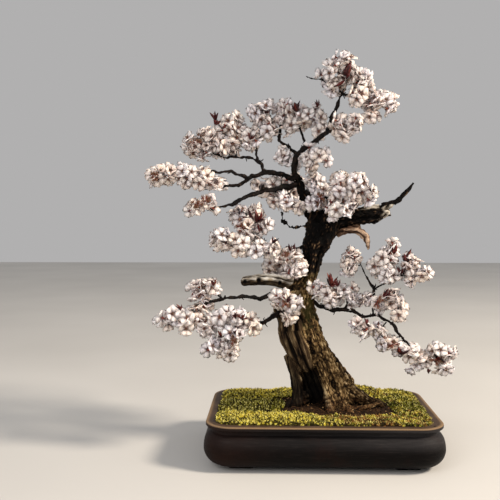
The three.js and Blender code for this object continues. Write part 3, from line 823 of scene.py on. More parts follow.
def old_wood():
    """Grey weather-beaten deadwood, flaky live bark and near-black old bark in one trunk, with painted
    shade in the foot's hollow and under the stub, and painted sunlight on the root's top.
    """
    wood = Finish("old_wood", Specular_IOR_Level=0.1)
    place = wood.place()
    drawn = wood.node("ShaderNodeAttribute", {"attribute_name": "drawn"}, output="Vector")
    relief = wood.value("relief")
    fibre = wood.grain(drawn, 1.3 * MM, 3, 0.65)
    fleck = wood.grain(place, 2.8 * MM, 4, 0.7)
    patch = wood.grain(place, 15 * MM, 3, 0.5)
    bare = wood.ramp(
        relief * 0.55 + fibre * 0.85 + patch * 0.3 - 0.42, stop(0.14, 18, 13, 8),
        stop(0.36, 54, 42, 30), stop(0.58, 96, 80, 59), stop(0.84, 170, 150, 118))
    bark = wood.ramp(
        relief * 0.62 + fleck * 0.85 + patch * 0.5 - 0.32, stop(0.2, 18, 13, 8), stop(0.4, 80, 62, 40),
        stop(0.58, 138, 112, 76), stop(0.82, 212, 184, 136))
    dark = wood.ramp(
        relief * 0.75 + fleck * 0.7 - 0.06, stop(0.3, 8, 6, 5), stop(0.5, 22, 17, 14),
        stop(0.68, 60, 46, 34), stop(0.88, 136, 112, 84))
    bark = wood.blend(bark, dark, wood.value("upper"))
    bark = wood.blend(bark, rgb(56, 56, 30), wood.value("green") * wood.step(patch, 0.42, 0.62) * 0.8)
    colour = wood.blend(bark, bare, wood.value("bare"))
    silver = wood.ramp(
        relief * 0.5 + fibre * 0.6 - 0.05, stop(0.18, 60, 50, 42), stop(0.36, 172, 162, 146),
        stop(0.62, 244, 238, 226))
    colour = wood.blend(colour, silver, wood.value("pale"))
    fresh = wood.ramp(
        relief * 0.7 + fibre * 0.9 - 0.36, stop(0.1, 30, 21, 17), stop(0.34, 96, 74, 60),
        stop(0.7, 190, 164, 140))
    colour = wood.blend(colour, fresh, wood.value("torn"))
    # Weathered bark with painted sunlight: the root's upward faces paler on their crests.
    weathered = wood.value("weathered") * wood.step(relief + fleck, 0.6, 1.1)
    colour = wood.blend(colour, rgb(226, 198, 156), weathered)
    wet = wood.blend(rgb(28, 20, 14), rgb(104, 70, 44), wood.step(fleck, 0.42, 0.68))
    colour = wood.blend(colour, wet, wood.value("damp") * 0.7)
    # Painted shade in the foot's hollow, on the old leg low down and under the stub; the dead knots are
    # darker wood.
    colour = wood.blend(colour, rgb(10, 7, 6), wood.value("dark"))
    return wood.wear(colour, 0.7 + fleck * 0.25, fibre * 0.7 + fleck * 0.6, 1.0 * MM, 0.8)


BRANCH_NODES = [name for name in node_names if name.startswith("branch_")]
SPUR_COUNT = 150


def make_branches():
    skin = even_skin(copy_of(*BRANCH_NODES), 1.0 * MM, 1)
    spots = points_of(skin)
    knobs = bumps(spots, 7 * MM) * 0.65 + bumps(spots, 2.6 * MM, 4.0) * 0.35
    raised(skin, (knobs * 2.1 - 0.2) * MM)
    crooks = np.stack([bumps(spots, 15 * MM, shift) for shift in (1.0, 12.0, 23.0)], axis=1)
    skin.vertices.foreach_set("co", (points_of(skin) + crooks * 3.2 * MM).ravel())
    carry(skin, "relief", knobs * 0.8 + 0.5)
    finished(skin, "branch_wood", branch_bark(), BRANCH_NODES)


def make_spurs():
    """Short blunt spurs and bud scars along the branches."""
    chance = np.random.default_rng(31)
    bm = copy_of(*BRANCH_NODES)
    bm.normal_update()
    bm.verts.ensure_lookup_table()
    routes = []
    for index in chance.choice(len(bm.verts), size=min(SPUR_COUNT, len(bm.verts)), replace=False):
        start = bm.verts[index].co.copy()
        way = bm.verts[index].normal + Vector(chance.normal(0, 0.35, 3)) + Vector((0, 0, 0.3))
        end = start + way.normalized() * chance.uniform(3, 9) * MM
        sag = Vector(chance.normal(0, 0.8, 3)) * MM
        routes.append(bow(start - way.normalized() * MM, end, sag, (1.3 * MM, 0.6 * MM), 3))
    bm.free()
    spurs = tubes(routes, 6)
    carry(spurs, "relief", np.full(len(spurs.vertices), 0.5))
    finished(spurs, "branch_spurs", bpy.data.materials["branch_bark"])


def branch_bark():
    """Near-black brown bark, paler on its crests."""
    bark = Finish("branch_bark", Specular_IOR_Level=0.16)
    place = bark.place()
    relief = bark.value("relief")
    fleck = bark.grain(place, 2.2 * MM, 4, 0.65)
    patch = bark.grain(place, 22 * MM, 2, 0.5)
    colour = bark.ramp(
        relief * 0.5 + fleck * 0.55, stop(0.3, 6, 5, 5), stop(0.54, 15, 11, 10),
        stop(0.72, 38, 29, 23), stop(0.88, 104, 84, 66))
    colour = bark.blend(colour, rgb(30, 19, 16), bark.step(patch, 0.45, 0.65) * 0.4)
    return bark.wear(colour, 0.6 + fleck * 0.3, fleck, 0.8 * MM, 0.8)


# ---------------------------------------------------------------- soil and moss

MOSS_SHOOTS = 17000
SOIL_GRAINS = 2600
TUFT_SIZE = 6.0 * MM
TUFT_SHIFT = 3.0


def make_soil():
    skin = even_skin(copy_of("soil"), 2.4 * MM, 2)
    spots = points_of(skin)
    upper = smooth_step(spots[:, 2], pot_top - 14 * MM, pot_top - 6 * MM)
    crumbs = bumps(spots, 9 * MM) * 1.4 + np.abs(bumps(spots, 4.2 * MM, 2.0)) * 1.8
    raised(skin, (crumbs - 1.2) * upper * MM)
    finished(skin, "soil_bed", damp_soil(), ["soil"])


def damp_soil():
    soil = Finish("damp_soil", Specular_IOR_Level=0.1)
    place = soil.place()
    crumb = soil.grain(place, 3.2 * MM, 4, 0.7)
    patch = soil.grain(place, 26 * MM, 3, 0.6)
    colour = soil.ramp(
        crumb * 0.8 + patch * 0.3, stop(0.35, 14, 10, 7), stop(0.55, 38, 27, 19),
        stop(0.75, 84, 62, 42))
    return soil.wear(colour, 0.85 + crumb * 0.1, crumb, 1.4 * MM, 0.8)


# Each pad's share of yellow, of dry orange-brown and of deep green, the deep green being painted shade.
MOSS_TONES = {
    "moss_front_left": (0.95, 0.25, 0.0),
    "moss_middle_left": (0.3, 0.15, 0.75),
    "moss_back_left": (1.0, 0.1, 0.0),
    "moss_front_right": (0.75, 0.75, 0.05),
    "moss_right": (0.45, 0.3, 0.35),
    "moss_back_right": (0.8, 0.45, 0.1),
}


def tone_fields(spots):
    """Yellow, dry and deep green shares at each point, blended between the pads. The deep green is
    painted shade.
    """
    weights = np.zeros(len(spots))
    mixed = np.zeros((len(spots), 3))
    for name, tones in MOSS_TONES.items():
        low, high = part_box(name)
        middle = (np.array(low) + np.array(high)) / 2
        reach = (np.array(high) - np.array(low)) / 2
        away = np.linalg.norm((spots - middle)[:, :2] / reach[:2], axis=1)
        weight = 1 / (0.05 + away ** 4)
        weights += weight
        mixed += weight[:, None] * np.array(tones)
    return mixed / weights[:, None]


def moss_skin():
    skin = even_skin(copy_of(*MOSS_TONES), 1.5 * MM, 4)
    spots = points_of(skin)
    upward = smooth_step(normals_of(skin)[:, 2], 0.1, 0.6)
    cushions = bumps(spots, 17 * MM) * 2.8
    tufts = plates(spots, TUFT_SIZE, TUFT_SHIFT)
    height = cushions + (tufts - 0.6) * 3.4 + bumps(spots, 2.6 * MM, 8.0) * 1.0
    raised(skin, height * upward * MM)
    carry(skin, "tuft", tufts)
    return skin


def moss_tones(mesh):
    spots = points_of(mesh)
    tones = tone_fields(spots)
    patchy = bumps(spots, 20 * MM, 1.5) * 0.45
    carry(mesh, "yellow", np.clip(tones[:, 0] + patchy, 0, 1))
    carry(mesh, "dry", np.clip(tones[:, 1] + bumps(spots, 13 * MM, 6.0) * 0.5, 0, 1))
    carry(mesh, "deep", np.clip(tones[:, 2] - patchy, 0, 1))


def moss_green(name, tufted):
    """Yellow-green moss that dries to orange-brown in places, with painted shade on the deep pads, in
    patches and in the cracks between tufts.
    """
    moss = Finish(name, Specular_IOR_Level=0.12)
    place = moss.place()
    fleck = moss.grain(place, 1.8 * MM, 3, 0.7)
    patch = moss.grain(place, 8 * MM, 3, 0.6)
    green = moss.ramp(
        fleck, stop(0.3, 38, 42, 8), stop(0.52, 92, 94, 22), stop(0.75, 150, 144, 48))
    yellow = moss.ramp(
        fleck, stop(0.3, 106, 90, 6), stop(0.48, 222, 200, 52), stop(0.64, 255, 248, 150))
    shade = moss.ramp(fleck, stop(0.3, 24, 28, 4), stop(0.5, 88, 86, 24), stop(0.7, 156, 146, 58))
    straw = moss.ramp(
        fleck, stop(0.28, 52, 32, 14), stop(0.5, 134, 92, 44), stop(0.75, 206, 164, 98))
    shade_patch_field = moss.grain(place, 15 * MM, 2, 0.5)
    patchy = patch - 0.5
    colour = moss.blend(green, yellow, moss.step(moss.value("yellow") + patchy * 1.6, 0.35, 0.8))
    # Painted shade: the deep green on the pads given a deep share.
    colour = moss.blend(colour, shade, moss.step(moss.value("deep") + patchy * 1.2, 0.35, 0.8))
    # Painted shade: darker olive patches over the cushions stand in for shade in their hollows.
    hollow = 1 - moss.step(shade_patch_field + patchy * 0.5, 0.38, 0.5)
    colour = moss.blend(colour, rgb(58, 58, 8), hollow * 0.65)
    colour = moss.blend(colour, straw, moss.step(moss.value("dry") + patchy * 1.8, 0.5, 0.8))
    if not tufted:
        # Painted shade in the cracks between the tufts.
        painted_crack_shade = 1 - moss.step(moss.value("tuft"), 0.25, 0.7)
        colour = moss.blend(colour, rgb(20, 15, 7), painted_crack_shade * 0.95)
    else:
        tint = moss.value("tint")
        colour = moss.blend(colour, rgb(40, 34, 2), (1 - moss.step(tint, 0.1, 0.45)) * 0.8)
        colour = moss.blend(colour, rgb(252, 242, 150), moss.step(tint, 0.6, 0.9) * 0.65)
    return moss.wear(colour, 0.85 + fleck * 0.1, fleck, 1.0 * MM, 0.7)


def sprig():
    """A tiny upright shoot of moss, three-sided and closed."""
    bm = bmesh.new()
    bmesh.ops.create_cone(bm, cap_ends=True, cap_tris=True, segments=3, radius1=1.0 * MM,
                          radius2=0, depth=3.4 * MM)
    bmesh.ops.translate(bm, vec=(0, 0, 1.1 * MM), verts=bm.verts)
    return Stock(bm)


def make_moss():
    skin = moss_skin()
    moss_tones(skin)
    finished(skin, "moss_cushions", moss_green("moss", False), list(MOSS_TONES))
    chance = np.random.default_rng(11)
    spots = points_of(skin)
    ways = normals_of(skin)
    tufts = plates(spots, TUFT_SIZE, TUFT_SHIFT)
    crests = np.flatnonzero((ways[:, 2] > 0.25) & (tufts > 0.42))
    picked = chance.choice(crests, size=min(MOSS_SHOOTS, len(crests)), replace=False)
    shoot = sprig()
    copies = []
    for index in picked:
        lean = Vector(ways[index] + chance.normal(0, 0.35, 3) + np.array([0, 0, 0.5])).normalized()
        size = chance.uniform(0.5, 1.2)
        copies.append((shoot, facing(Vector(spots[index]), lean, chance.uniform(0, 6.3), size),
                       chance.uniform(0, 1)))
    mesh = set_out(copies)
    moss_tones(mesh)
    finished(mesh, "moss_shoots", moss_green("moss_shoots", True), smooth=False)


def crumb():
    """A rough grain of soil."""
    bm = bmesh.new()
    bmesh.ops.create_icosphere(bm, subdivisions=1, radius=1.0)
    for spot in bm.verts:
        spot.co *= 1 + 0.35 * noise.noise(spot.co * 2.1)
    bmesh.ops.scale(bm, vec=(1.0, 0.8, 0.6), verts=bm.verts)
    return Stock(bm)


def make_grit():
    """Loose grains, chips and dry bits over the bare soil."""
    soil = bpy.data.objects["soil_bed"].data
    chance = np.random.default_rng(23)
    spots = points_of(soil)
    upward = np.flatnonzero((normals_of(soil)[:, 2] > 0.5) & (spots[:, 2] > pot_top - 12 * MM))
    inside = [index for index in upward if abs(spots[index][0] - pot_middle.x) < half_length - 22 * MM
              and abs(spots[index][1] - pot_middle.y) < half_depth - 22 * MM]
    grain = crumb()
    copies = []
    for index in chance.choice(inside, size=min(SOIL_GRAINS, len(inside)), replace=False):
        way = Vector(chance.normal(0, 1, 3)).normalized()
        size = chance.uniform(0.7, 2.1) * MM
        copies.append((grain, facing(Vector(spots[index]), way, 0, size), chance.uniform(0, 1)))
    finished(set_out(copies), "soil_grains", soil_grit(), smooth=False)


def soil_grit():
    """Dark grains, with a few pale chips among them."""
    grit = Finish("soil_grit", Specular_IOR_Level=0.1)
    fleck = grit.grain(grit.place(), 1.5 * MM, 2, 0.6)
    colour = grit.ramp(
        grit.value("tint") + (fleck - 0.5) * 0.3, stop(0.1, 20, 14, 10), stop(0.5, 48, 33, 22),
        stop(0.8, 92, 64, 40), stop(0.97, 168, 132, 92))
    return grit.wear(colour, 0.85 + fleck * 0.1, fleck, 0.5 * MM, 0.6)


# ---------------------------------------------------------------- blossom

FLOWER_REACH = 15.0 * MM  # middle of a flower to a petal's tip
FLOWER_SPACING = 16.6 * MM
CALYX_BELOW = 6.5 * MM  # a flower's middle below its bunch's outer surface
INNER_SPACING = 17 * MM
INNER_BELOW = 16 * MM
INNER_SIZE = 0.85
SPUR_REACH = 26 * MM  # how near to each other the flowers of one spur sit
SPUR_BELOW = 9 * MM
FLOWERS_ON_SPUR = 4
TUFT_CHANCE = 0.2  # for each spur
SPRAY_FLOWERS = 7
FRONT_DEPTH = 7 * MM  # how far in from a bunch's front its tufts and sprays start
PETAL_THICKNESS = 0.35 * MM
LEAF_LENGTH = 14 * MM
LEAF_THICKNESS = 0.3 * MM
BUD_RADIUS = 3.4 * MM

# Each flower draws its kind from 0 to 1: cupped, open, open and edge-on, or still a bud.
CUPPED_BELOW = 0.12
EDGE_ON_ABOVE = 0.84
BUD_ABOVE = 0.96

# (share of the length, half width as a share of the flower's reach or of the leaf's length)
PETAL_PROFILE = [(0.0, 0.1), (0.38, 0.35), (0.74, 0.49), (1.0, 0.29)]
LEAF_PROFILE = [(0.0, 0.04), (0.3, 0.13), (0.66, 0.11), (1.0, 0.01)]


def blade(bm, length, profile, unit, rise_at, thickness, notch=0.0):
    """A petal or leaf from the origin along +X: a thin closed lens of two skins."""
    reach = bm.verts.layers.float.new("reach")
    made = bmesh.ops.create_grid(bm, x_segments=3, y_segments=2, size=1.0)["verts"]
    faces = list({face for spot in made for face in spot.link_faces})
    inner = []
    for spot in made:
        along, half_width = profile[round((spot.co.x + 1) * 1.5)]
        across = spot.co.y
        if 0.0 < along < 1.0 and abs(across) < 0.01:
            inner.append(spot)
        bite = notch if along == 1.0 and abs(across) < 0.01 else 0.0
        spot[reach] = along
        spot.co.x = length * (along - bite)
        spot.co.y = across * half_width * unit
        spot.co.z = rise_at(along, across)
    copied = bmesh.ops.duplicate(bm, geom=made + faces)
    back = [item for item in copied["geom"] if isinstance(item, bmesh.types.BMFace)]
    twins = copied["vert_map"]
    bmesh.ops.reverse_faces(bm, faces=back)
    for spot in inner:
        twins[spot].co.z -= thickness
    everything = made + [twins[spot] for spot in made]
    bmesh.ops.remove_doubles(bm, verts=everything, dist=0.0001 * MM)


def flower(chance, openness):
    """Five separate petals round the middle. openness 1 is flat, 0 is a cup."""
    bm = bmesh.new()
    bm.verts.layers.float.new("reach")
    lift = math.radians(6 + 60 * (1 - openness))
    for number in range(5):
        part = bmesh.new()
        length = FLOWER_REACH * chance.uniform(0.9, 1.04)
        curl = chance.uniform(-0.12, 0.14)
        wide = FLOWER_REACH * chance.uniform(0.9, 1.1)
        hollow = chance.uniform(0.04, 0.12)

        def rise(along, across):
            return FLOWER_REACH * (hollow * across ** 2 * along - curl * along ** 2)

        blade(part, length, PETAL_PROFILE, wide, rise, PETAL_THICKNESS, 0.08)
        bmesh.ops.translate(part, vec=(0.8 * MM, 0, 0), verts=part.verts)
        tilt = -lift + chance.normal(0, 0.08)
        turn = number * math.tau / 5 + chance.normal(0, 0.1)
        twist = Matrix.Rotation(chance.normal(0, 0.12), 4, "X")
        place = Matrix.Rotation(turn, 4, "Z") @ Matrix.Rotation(tilt, 4, "Y") @ twist
        bmesh.ops.transform(part, matrix=place, verts=part.verts)
        mesh = mesh_of(part)
        bm.from_mesh(mesh)
        bpy.data.meshes.remove(mesh)
    return Stock(bm)


def flower_bud():
    """A closed bud, fat above the middle."""
    bm = bmesh.new()
    bmesh.ops.create_uvsphere(bm, u_segments=6, v_segments=5, radius=BUD_RADIUS)
    reach = bm.verts.layers.float.new("reach")
    for spot in bm.verts:
        up = spot.co.z / BUD_RADIUS
        spot[reach] = (up + 1) / 2
        spot.co.z = 4.6 * MM * (up + 0.75)
    return Stock(bm)


def flower_centre(chance):
    """The cup in the middle of a flower, with its ring of stamens."""
    bm = bmesh.new()
    reach = bm.verts.layers.float.new("reach")
    bmesh.ops.create_cone(bm, cap_ends=True, segments=6, radius1=2.0 * MM, radius2=1.3 * MM,
                          depth=1.0 * MM, matrix=Matrix.Translation((0, 0, 0.6 * MM)))
    for number in range(9):
        made = bmesh.ops.create_cone(bm, cap_ends=True, segments=3, radius1=0.2 * MM,
                                     radius2=0.55 * MM, depth=1.0)["verts"]
        length = chance.uniform(4.0, 6.0) * MM
        for spot in made:
            spot[reach] = 0.3 if spot.co.z < 0 else 1.0
            spot.co.z = (spot.co.z + 0.5) * length
        spread = chance.uniform(0.3, 0.85)
        place = Matrix.Rotation(number * 2.4, 4, "Z") @ Matrix.Rotation(spread, 4, "Y")
        bmesh.ops.transform(bm, matrix=place, verts=made)
    return Stock(bm)


def calyx():
    """Five small sepals behind a flower, on a short tube."""
    bm = bmesh.new()
    bmesh.ops.create_cone(bm, cap_ends=True, segments=5, radius1=0.9 * MM, radius2=2.0 * MM,
                          depth=4.0 * MM, matrix=Matrix.Translation((0, 0, -2.0 * MM)))
    for number in range(5):
        made = bmesh.ops.create_cone(bm, cap_ends=True, segments=3, radius1=1.3 * MM,
                                     radius2=0.1 * MM, depth=4.4 * MM)["verts"]
        bmesh.ops.scale(bm, vec=(0.35, 1, 1), verts=made)
        bmesh.ops.translate(bm, vec=(0, 0, 2.6 * MM), verts=made)
        place = Matrix.Rotation((number + 0.5) * math.tau / 5, 4, "Z")
        place = place @ Matrix.Rotation(math.radians(82), 4, "Y")
        bmesh.ops.transform(bm, matrix=place, verts=made)
    return Stock(bm)


def young_leaf(chance):
    """A narrow folded leaf, standing along +Z."""
    bm = bmesh.new()
    fold = chance.uniform(0.5, 1.1)
    bend = chance.uniform(-0.15, 0.3)

    def rise(along, across):
        folded = abs(across) * 0.2 * fold * math.sin(math.pi * along)
        return LEAF_LENGTH * (bend * along ** 2 + folded)

    blade(bm, LEAF_LENGTH, LEAF_PROFILE, LEAF_LENGTH, rise, LEAF_THICKNESS)
    bmesh.ops.rotate(bm, cent=(0, 0, 0), matrix=Matrix.Rotation(-math.pi / 2, 3, "Y"), verts=bm.verts)
    return Stock(bm)


# The bunches that make up each bough, and the CAD branches that carry them.
BOUGHS = {
    "crown": (["apex", "apex_right", "apex_front", "upper_middle", "fork", "fork_right"],
              ["branch_crown"]),
    "upper_left": (["upper_left_end", "upper_left_crown", "left_tip"], ["branch_upper_left"]),
    "left": (["left_under", "left_inner"], ["branch_left"]),
    "jin": (["jin_top", "jin_root"], ["branch_jin_side"]),
    "middle": (["middle_top", "middle_end", "middle_root"], ["branch_middle"]),
    "low_left": (["low_left_rise", "low_left_tip", "low_left_mass", "trunk_front"],
                 ["branch_low_left", "branch_low_front"]),
    "right": (["right_root", "right_rise", "right_fork", "right_end", "right_middle",
               "right_under", "low_right_bunch", "low_right_mid", "low_right_tip"],
              ["branch_right"]),
    "back": (["back_upper", "back_left", "back_low_left", "back_low_right"],
             ["branch_back_upper", "branch_back_low"]),
}

# The CAD tuft of leaves on each bough that has one.
LEAF_NODES = {"crown": "leaves_apex", "upper_left": "leaves_upper_left",
              "middle": "leaves_middle", "right": "leaves_right"}

# Tufts of young red leaves at the front: the bunch, how far across and up its box, and size.
LEAF_TUFTS = [
    ("upper_left_crown", -0.05, 0.7, 1.7), ("upper_left_crown", 0.05, 0.5, 1.0),
    ("upper_left_crown", 0.5, 0.3, 1.0), ("upper_left_crown", 0.75, 0.8, 1.2),
    ("upper_middle", 0.45, 0.75, 1.5), ("upper_middle", 0.8, 0.85, 1.3),
    ("apex", 0.45, 0.57, 2.0), ("jin_top", 0.1, 0.3, 1.5), ("middle_top", 0.63, 0.6, 2.0),
    ("middle_end", 0.25, 0.6, 1.0), ("middle_end", 0.9, 0.6, 1.0), ("middle_root", 0.35, 1.0, 1.2),
    ("low_left_rise", 0.8, 0.9, 1.2), ("low_left_tip", 0.4, 1.0, 1.0),
    ("trunk_front", 0.4, 0.7, 1.5), ("low_left_mass", 0.55, 0.85, 1.0),
    ("low_left_mass", 0.67, 0.85, 1.0), ("low_left_mass", 0.3, 0.5, 1.0),
    ("right_root", 0.4, 1.05, 1.7), ("right_root", 0.52, 0.95, 1.2), ("right_rise", 0.85, 0.65, 1.2),
    ("right_fork", 0.77, 0.77, 1.4), ("right_end", 0.07, 0.88, 1.7), ("right_fork", 1.0, 0.32, 1.2),
    ("right_middle", 0.5, 0.8, 1.3), ("right_under", 0.9, 0.8, 1.4),
    ("low_right_bunch", 0.8, 0.2, 1.4), ("low_right_tip", 0.2, 0.6, 1.5),
    ("low_right_mid", 0.9, 0.1, 1.0),
]

# Sprays of spent flowers at the front: the bunch, and how far across and up its box.
SPENT_SPRAYS = [
    ("left_tip", 0.14, 0.5), ("left_under", 0.35, 0.5), ("left_under", 0.6, 0.6),
    ("trunk_front", 0.35, 0.6), ("low_right_tip", 0.14, 0.5), ("low_right_bunch", 0.6, 0.35),
    ("middle_top", 0.3, 0.35), ("upper_left_end", 0.3, 0.45), ("middle_root", 0.15, 0.75),
    ("low_left_mass", 0.5, 0.4), ("right_middle", 0.35, 0.6), ("jin_root", 0.6, 0.3),
]


def spread_over(node, spacing, chance):
    """Evenly spread points on a CAD solid, each with its outward way."""
    bm = copy_of(node)
    bm.normal_update()
    bmesh.ops.triangulate(bm, faces=bm.faces)
    areas = np.array([face.calc_area() for face in bm.faces])
    corners = np.array([[list(spot.co) for spot in face.verts] for face in bm.faces])
    ways = np.array([[list(spot.normal) for spot in face.verts] for face in bm.faces])
    bm.free()
    tries = int(areas.sum() / spacing ** 2 * 14)
    faces = chance.choice(len(areas), size=tries, p=areas / areas.sum())
    weights = chance.dirichlet((1, 1, 1), size=tries)
    spots = np.einsum("ij,ijk->ik", weights, corners[faces])
    outward = np.einsum("ij,ijk->ik", weights, ways[faces])
    outward /= np.linalg.norm(outward, axis=1)[:, None]
    kept = []
    for index in range(tries):
        if all(np.linalg.norm(spots[index] - spots[other]) > spacing for other in kept):
            kept.append(index)
    return spots[kept], outward[kept]


def spurs_for(heads, ways):
    """Groups flower heads by their nearness. Gives (spur point, [head numbers])."""
    free = list(range(len(heads)))
    spurs = []
    while free:
        first = free[0]
        near = sorted(free, key=lambda other: np.linalg.norm(heads[other] - heads[first]))
        group = [other for other in near[:FLOWERS_ON_SPUR]
                 if np.linalg.norm(heads[other] - heads[first]) < SPUR_REACH]
        free = [other for other in free if other not in group]
        spur = heads[group].mean(axis=0) - ways[group].mean(axis=0) * SPUR_BELOW
        spurs.append((Vector(spur), group))
    return spurs


def wood_points(names):
    """Points along the CAD branches that twigs may grow from."""
    bm = copy_of(*names)
    bmesh.ops.subdivide_edges(bm, edges=bm.edges, cuts=2)
    spots = np.array([list(spot.co) for spot in bm.verts])
    bm.free()
    return spots


class Bough:
    """Collects everything that grows on one bough."""

    def __init__(self):
        self.petals = []
        self.centres = []
        self.sepals = []
        self.stalks = []
        self.twigs = []
        self.leaves = []


def grow_twigs(bough, spurs, wood, chance):
    """Joins each spur to the nearest wood, or to a nearer spur that has joined already."""
    waiting = [np.array(spur) for spur, _ in spurs]
    gaps = [np.linalg.norm(wood - spot, axis=1) for spot in waiting]
    anchors = [wood[gap.argmin()] for gap in gaps]
    gaps = [gap.min() for gap in gaps]
    thick = [1.3 * MM] * len(waiting)
    while waiting:
        nearest = int(np.argmin(gaps))
        spot, gap = waiting.pop(nearest), gaps.pop(nearest)
        start, radius = Vector(anchors.pop(nearest)), thick.pop(nearest)
        end = Vector(spot)
        aside = Vector(chance.normal(0, 0.1, 3)) * gap
        bough.twigs.append(bow(start, end, aside, (radius, radius * 0.75), 4))
        for other, place in enumerate(waiting):
            away = np.linalg.norm(place - spot)
            if away < gaps[other]:
                gaps[other], anchors[other], thick[other] = away, spot, max(radius * 0.75, 0.6 * MM)


def dress(bough, node, seeds, stocks, wood):
    """Fills one bunch with flowers on stalks, spurs and twigs, and half-hidden ones inside."""
    chance = np.random.default_rng(seeds)
    spots, ways = spread_over(node, INNER_SPACING, chance)
    for spot, way in zip(spots - ways * INNER_BELOW, ways):
        tilted = Vector(way + chance.normal(0, 0.25, 3)).normalized()
        shape = pick(stocks["open"], chance)
        place = facing(Vector(spot), tilted, chance.uniform(0, math.tau), INNER_SIZE)
        bough.petals.append((shape, place, chance.uniform()))
    spots, ways = spread_over(node, FLOWER_SPACING, chance)
    deep = CALYX_BELOW + chance.uniform(-5.5, 3.5, len(spots)) * MM
    heads = spots - ways * deep[:, None]
    spurs = spurs_for(heads, ways)
    grow_twigs(bough, spurs, wood, chance)
    for spur, group in spurs:
        for index in group:
            grow_flower(bough, Vector(heads[index]), Vector(ways[index]), spur, stocks, chance)
        if chance.uniform() < TUFT_CHANCE:
            outward = Vector(ways[group].mean(axis=0)) + Vector((0, 0, 0.4))
            grow_tuft(bough, spur + outward.normalized() * 6 * MM, outward, 0.9, stocks, chance)


def grow_flower(bough, head, way, spur, stocks, chance):
    tint = chance.uniform()
    spin = chance.uniform(0, math.tau)
    size = chance.uniform(0.88, 1.06)
    kind = chance.uniform()
    aside = Vector(chance.normal(0, 0.26, 3))
    if EDGE_ON_ABOVE < kind < BUD_ABOVE:
        aside = way.cross(aside).normalized() * 3.5
    way = (way + aside).normalized()
    place = facing(head, way, spin, size)
    foot_spot = head - way * 3.6 * MM
    bough.sepals.append((stocks["calyx"], place, tint))
    bough.stalks.append(bow(spur, foot_spot, way * -1.5 * MM, (0.55 * MM, 0.5 * MM), 3))
    if kind > BUD_ABOVE:
        bough.petals.append((stocks["bud"], place, tint))
        return
    shape = pick(stocks["open"], chance)
    if kind < CUPPED_BELOW:
        shape = pick(stocks["cupped"], chance)
    bough.petals.append((shape, place, tint))
    bough.centres.append((stocks["centre"], place, tint))


def grow_tuft(bough, root, way, size, stocks, chance):
    """A few young leaves that spread from one bud."""
    count = int(chance.integers(5, 9))
    for _ in range(count):
        lean = (way.normalized() + Vector(chance.normal(0, 0.45, 3))).normalized()
        shape = pick(stocks["leaf"], chance)
        scale = size * chance.uniform(0.6, 1.1)
        place = facing(root, lean, chance.uniform(0, math.tau), scale)
        bough.leaves.append((shape, place, chance.uniform()))


def grow_spray(bough, root, stocks, chance):
    """Flowers that have shed their petals: cups and stamens on their stalks."""
    for _ in range(SPRAY_FLOWERS):
        way = Vector((chance.normal(0, 0.6), -1, chance.normal(0.1, 0.6))).normalized()
        head = root + way * chance.uniform(8, 12) * MM
        place = facing(head, way, chance.uniform(0, math.tau), 0.95)
        bough.sepals.append((stocks["calyx"], place, chance.uniform()))
        bough.centres.append((stocks["centre"], place, chance.uniform()))
        bough.stalks.append(bow(root, head - way * 3 * MM, way * -MM, (0.6 * MM, 0.5 * MM), 3))


def petal_white():
    """White, a little lavender or cream from flower to flower, darker at the claw."""
    petal = Finish("petal", Roughness=0.62, Subsurface_Weight=0.45, Subsurface_Scale=2.5 * MM,
                   Subsurface_Radius=(1.0, 0.8, 0.8))
    reach = petal.value("reach")
    tint = petal.value("tint")
    fleck = petal.grain(petal.place(), 2.5 * MM, 2, 0.6)
    skin = petal.ramp(
        tint * 0.8 + fleck * 0.2, stop(0.1, 243, 235, 241), stop(0.5, 250, 237, 232),
        stop(0.9, 253, 231, 216))
    claw = (1 - petal.step(reach, 0.05, 0.5)) * 0.85
    colour = petal.blend(skin, rgb(150, 118, 122), claw)
    return petal.wear(colour, 0.55 + fleck * 0.15)


def centre_red():
    """A rust-brown cup, with paler stamens that end in brown anthers."""
    heart = Finish("flower_heart", Roughness=0.7)
    fleck = heart.grain(heart.place(), 1.2 * MM, 2, 0.6)
    colour = heart.ramp(
        heart.value("reach") + (fleck - 0.5) * 0.2, stop(0.0, 96, 58, 48), stop(0.35, 150, 116, 106),
        stop(0.75, 140, 110, 90), stop(1.0, 96, 70, 46))
    return heart.wear(colour, 0.6 + fleck * 0.2)


def stalk_red():
    stalk = Finish("stalk", Roughness=0.6)
    fleck = stalk.grain(stalk.place(), 3 * MM, 2, 0.6)
    colour = stalk.ramp(fleck, stop(0.3, 84, 32, 24), stop(0.55, 140, 62, 42), stop(0.8, 146, 104, 60))
    return stalk.wear(colour, 0.5 + fleck * 0.2)


def leaf_red():
    leaf = Finish("young_leaf", Roughness=0.5)
    fleck = leaf.grain(leaf.place(), 3 * MM, 3, 0.6)
    colour = leaf.ramp(
        leaf.value("tint") * 0.7 + fleck * 0.4, stop(0.15, 32, 7, 11), stop(0.5, 66, 14, 18),
        stop(0.75, 94, 26, 24), stop(0.95, 118, 56, 36))
    return leaf.wear(colour, 0.4 + fleck * 0.25, fleck, 0.4 * MM, 0.5)


def front_spot(bunch, across, up):
    """A point just inside the front of a bunch's box, by its shares across and up."""
    low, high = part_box(f"blossoms_{bunch}")
    x = low.x + (high.x - low.x) * across
    z = low.z + (high.z - low.z) * up
    return Vector((x, low.y + FRONT_DEPTH, z))


def decorate(bough, bunch, stocks, chance):
    """Puts a bunch's leaf tufts and spent flowers at its front."""
    for place, across, up, size in LEAF_TUFTS:
        if place == bunch:
            root = front_spot(bunch, across, up) - Vector((0, 0, 5 * MM * size))
            grow_tuft(bough, root, Vector((0, -0.5, 1)), size, stocks, chance)
    for place, across, up in SPENT_SPRAYS:
        if place == bunch:
            grow_spray(bough, front_spot(bunch, across, up), stocks, chance)


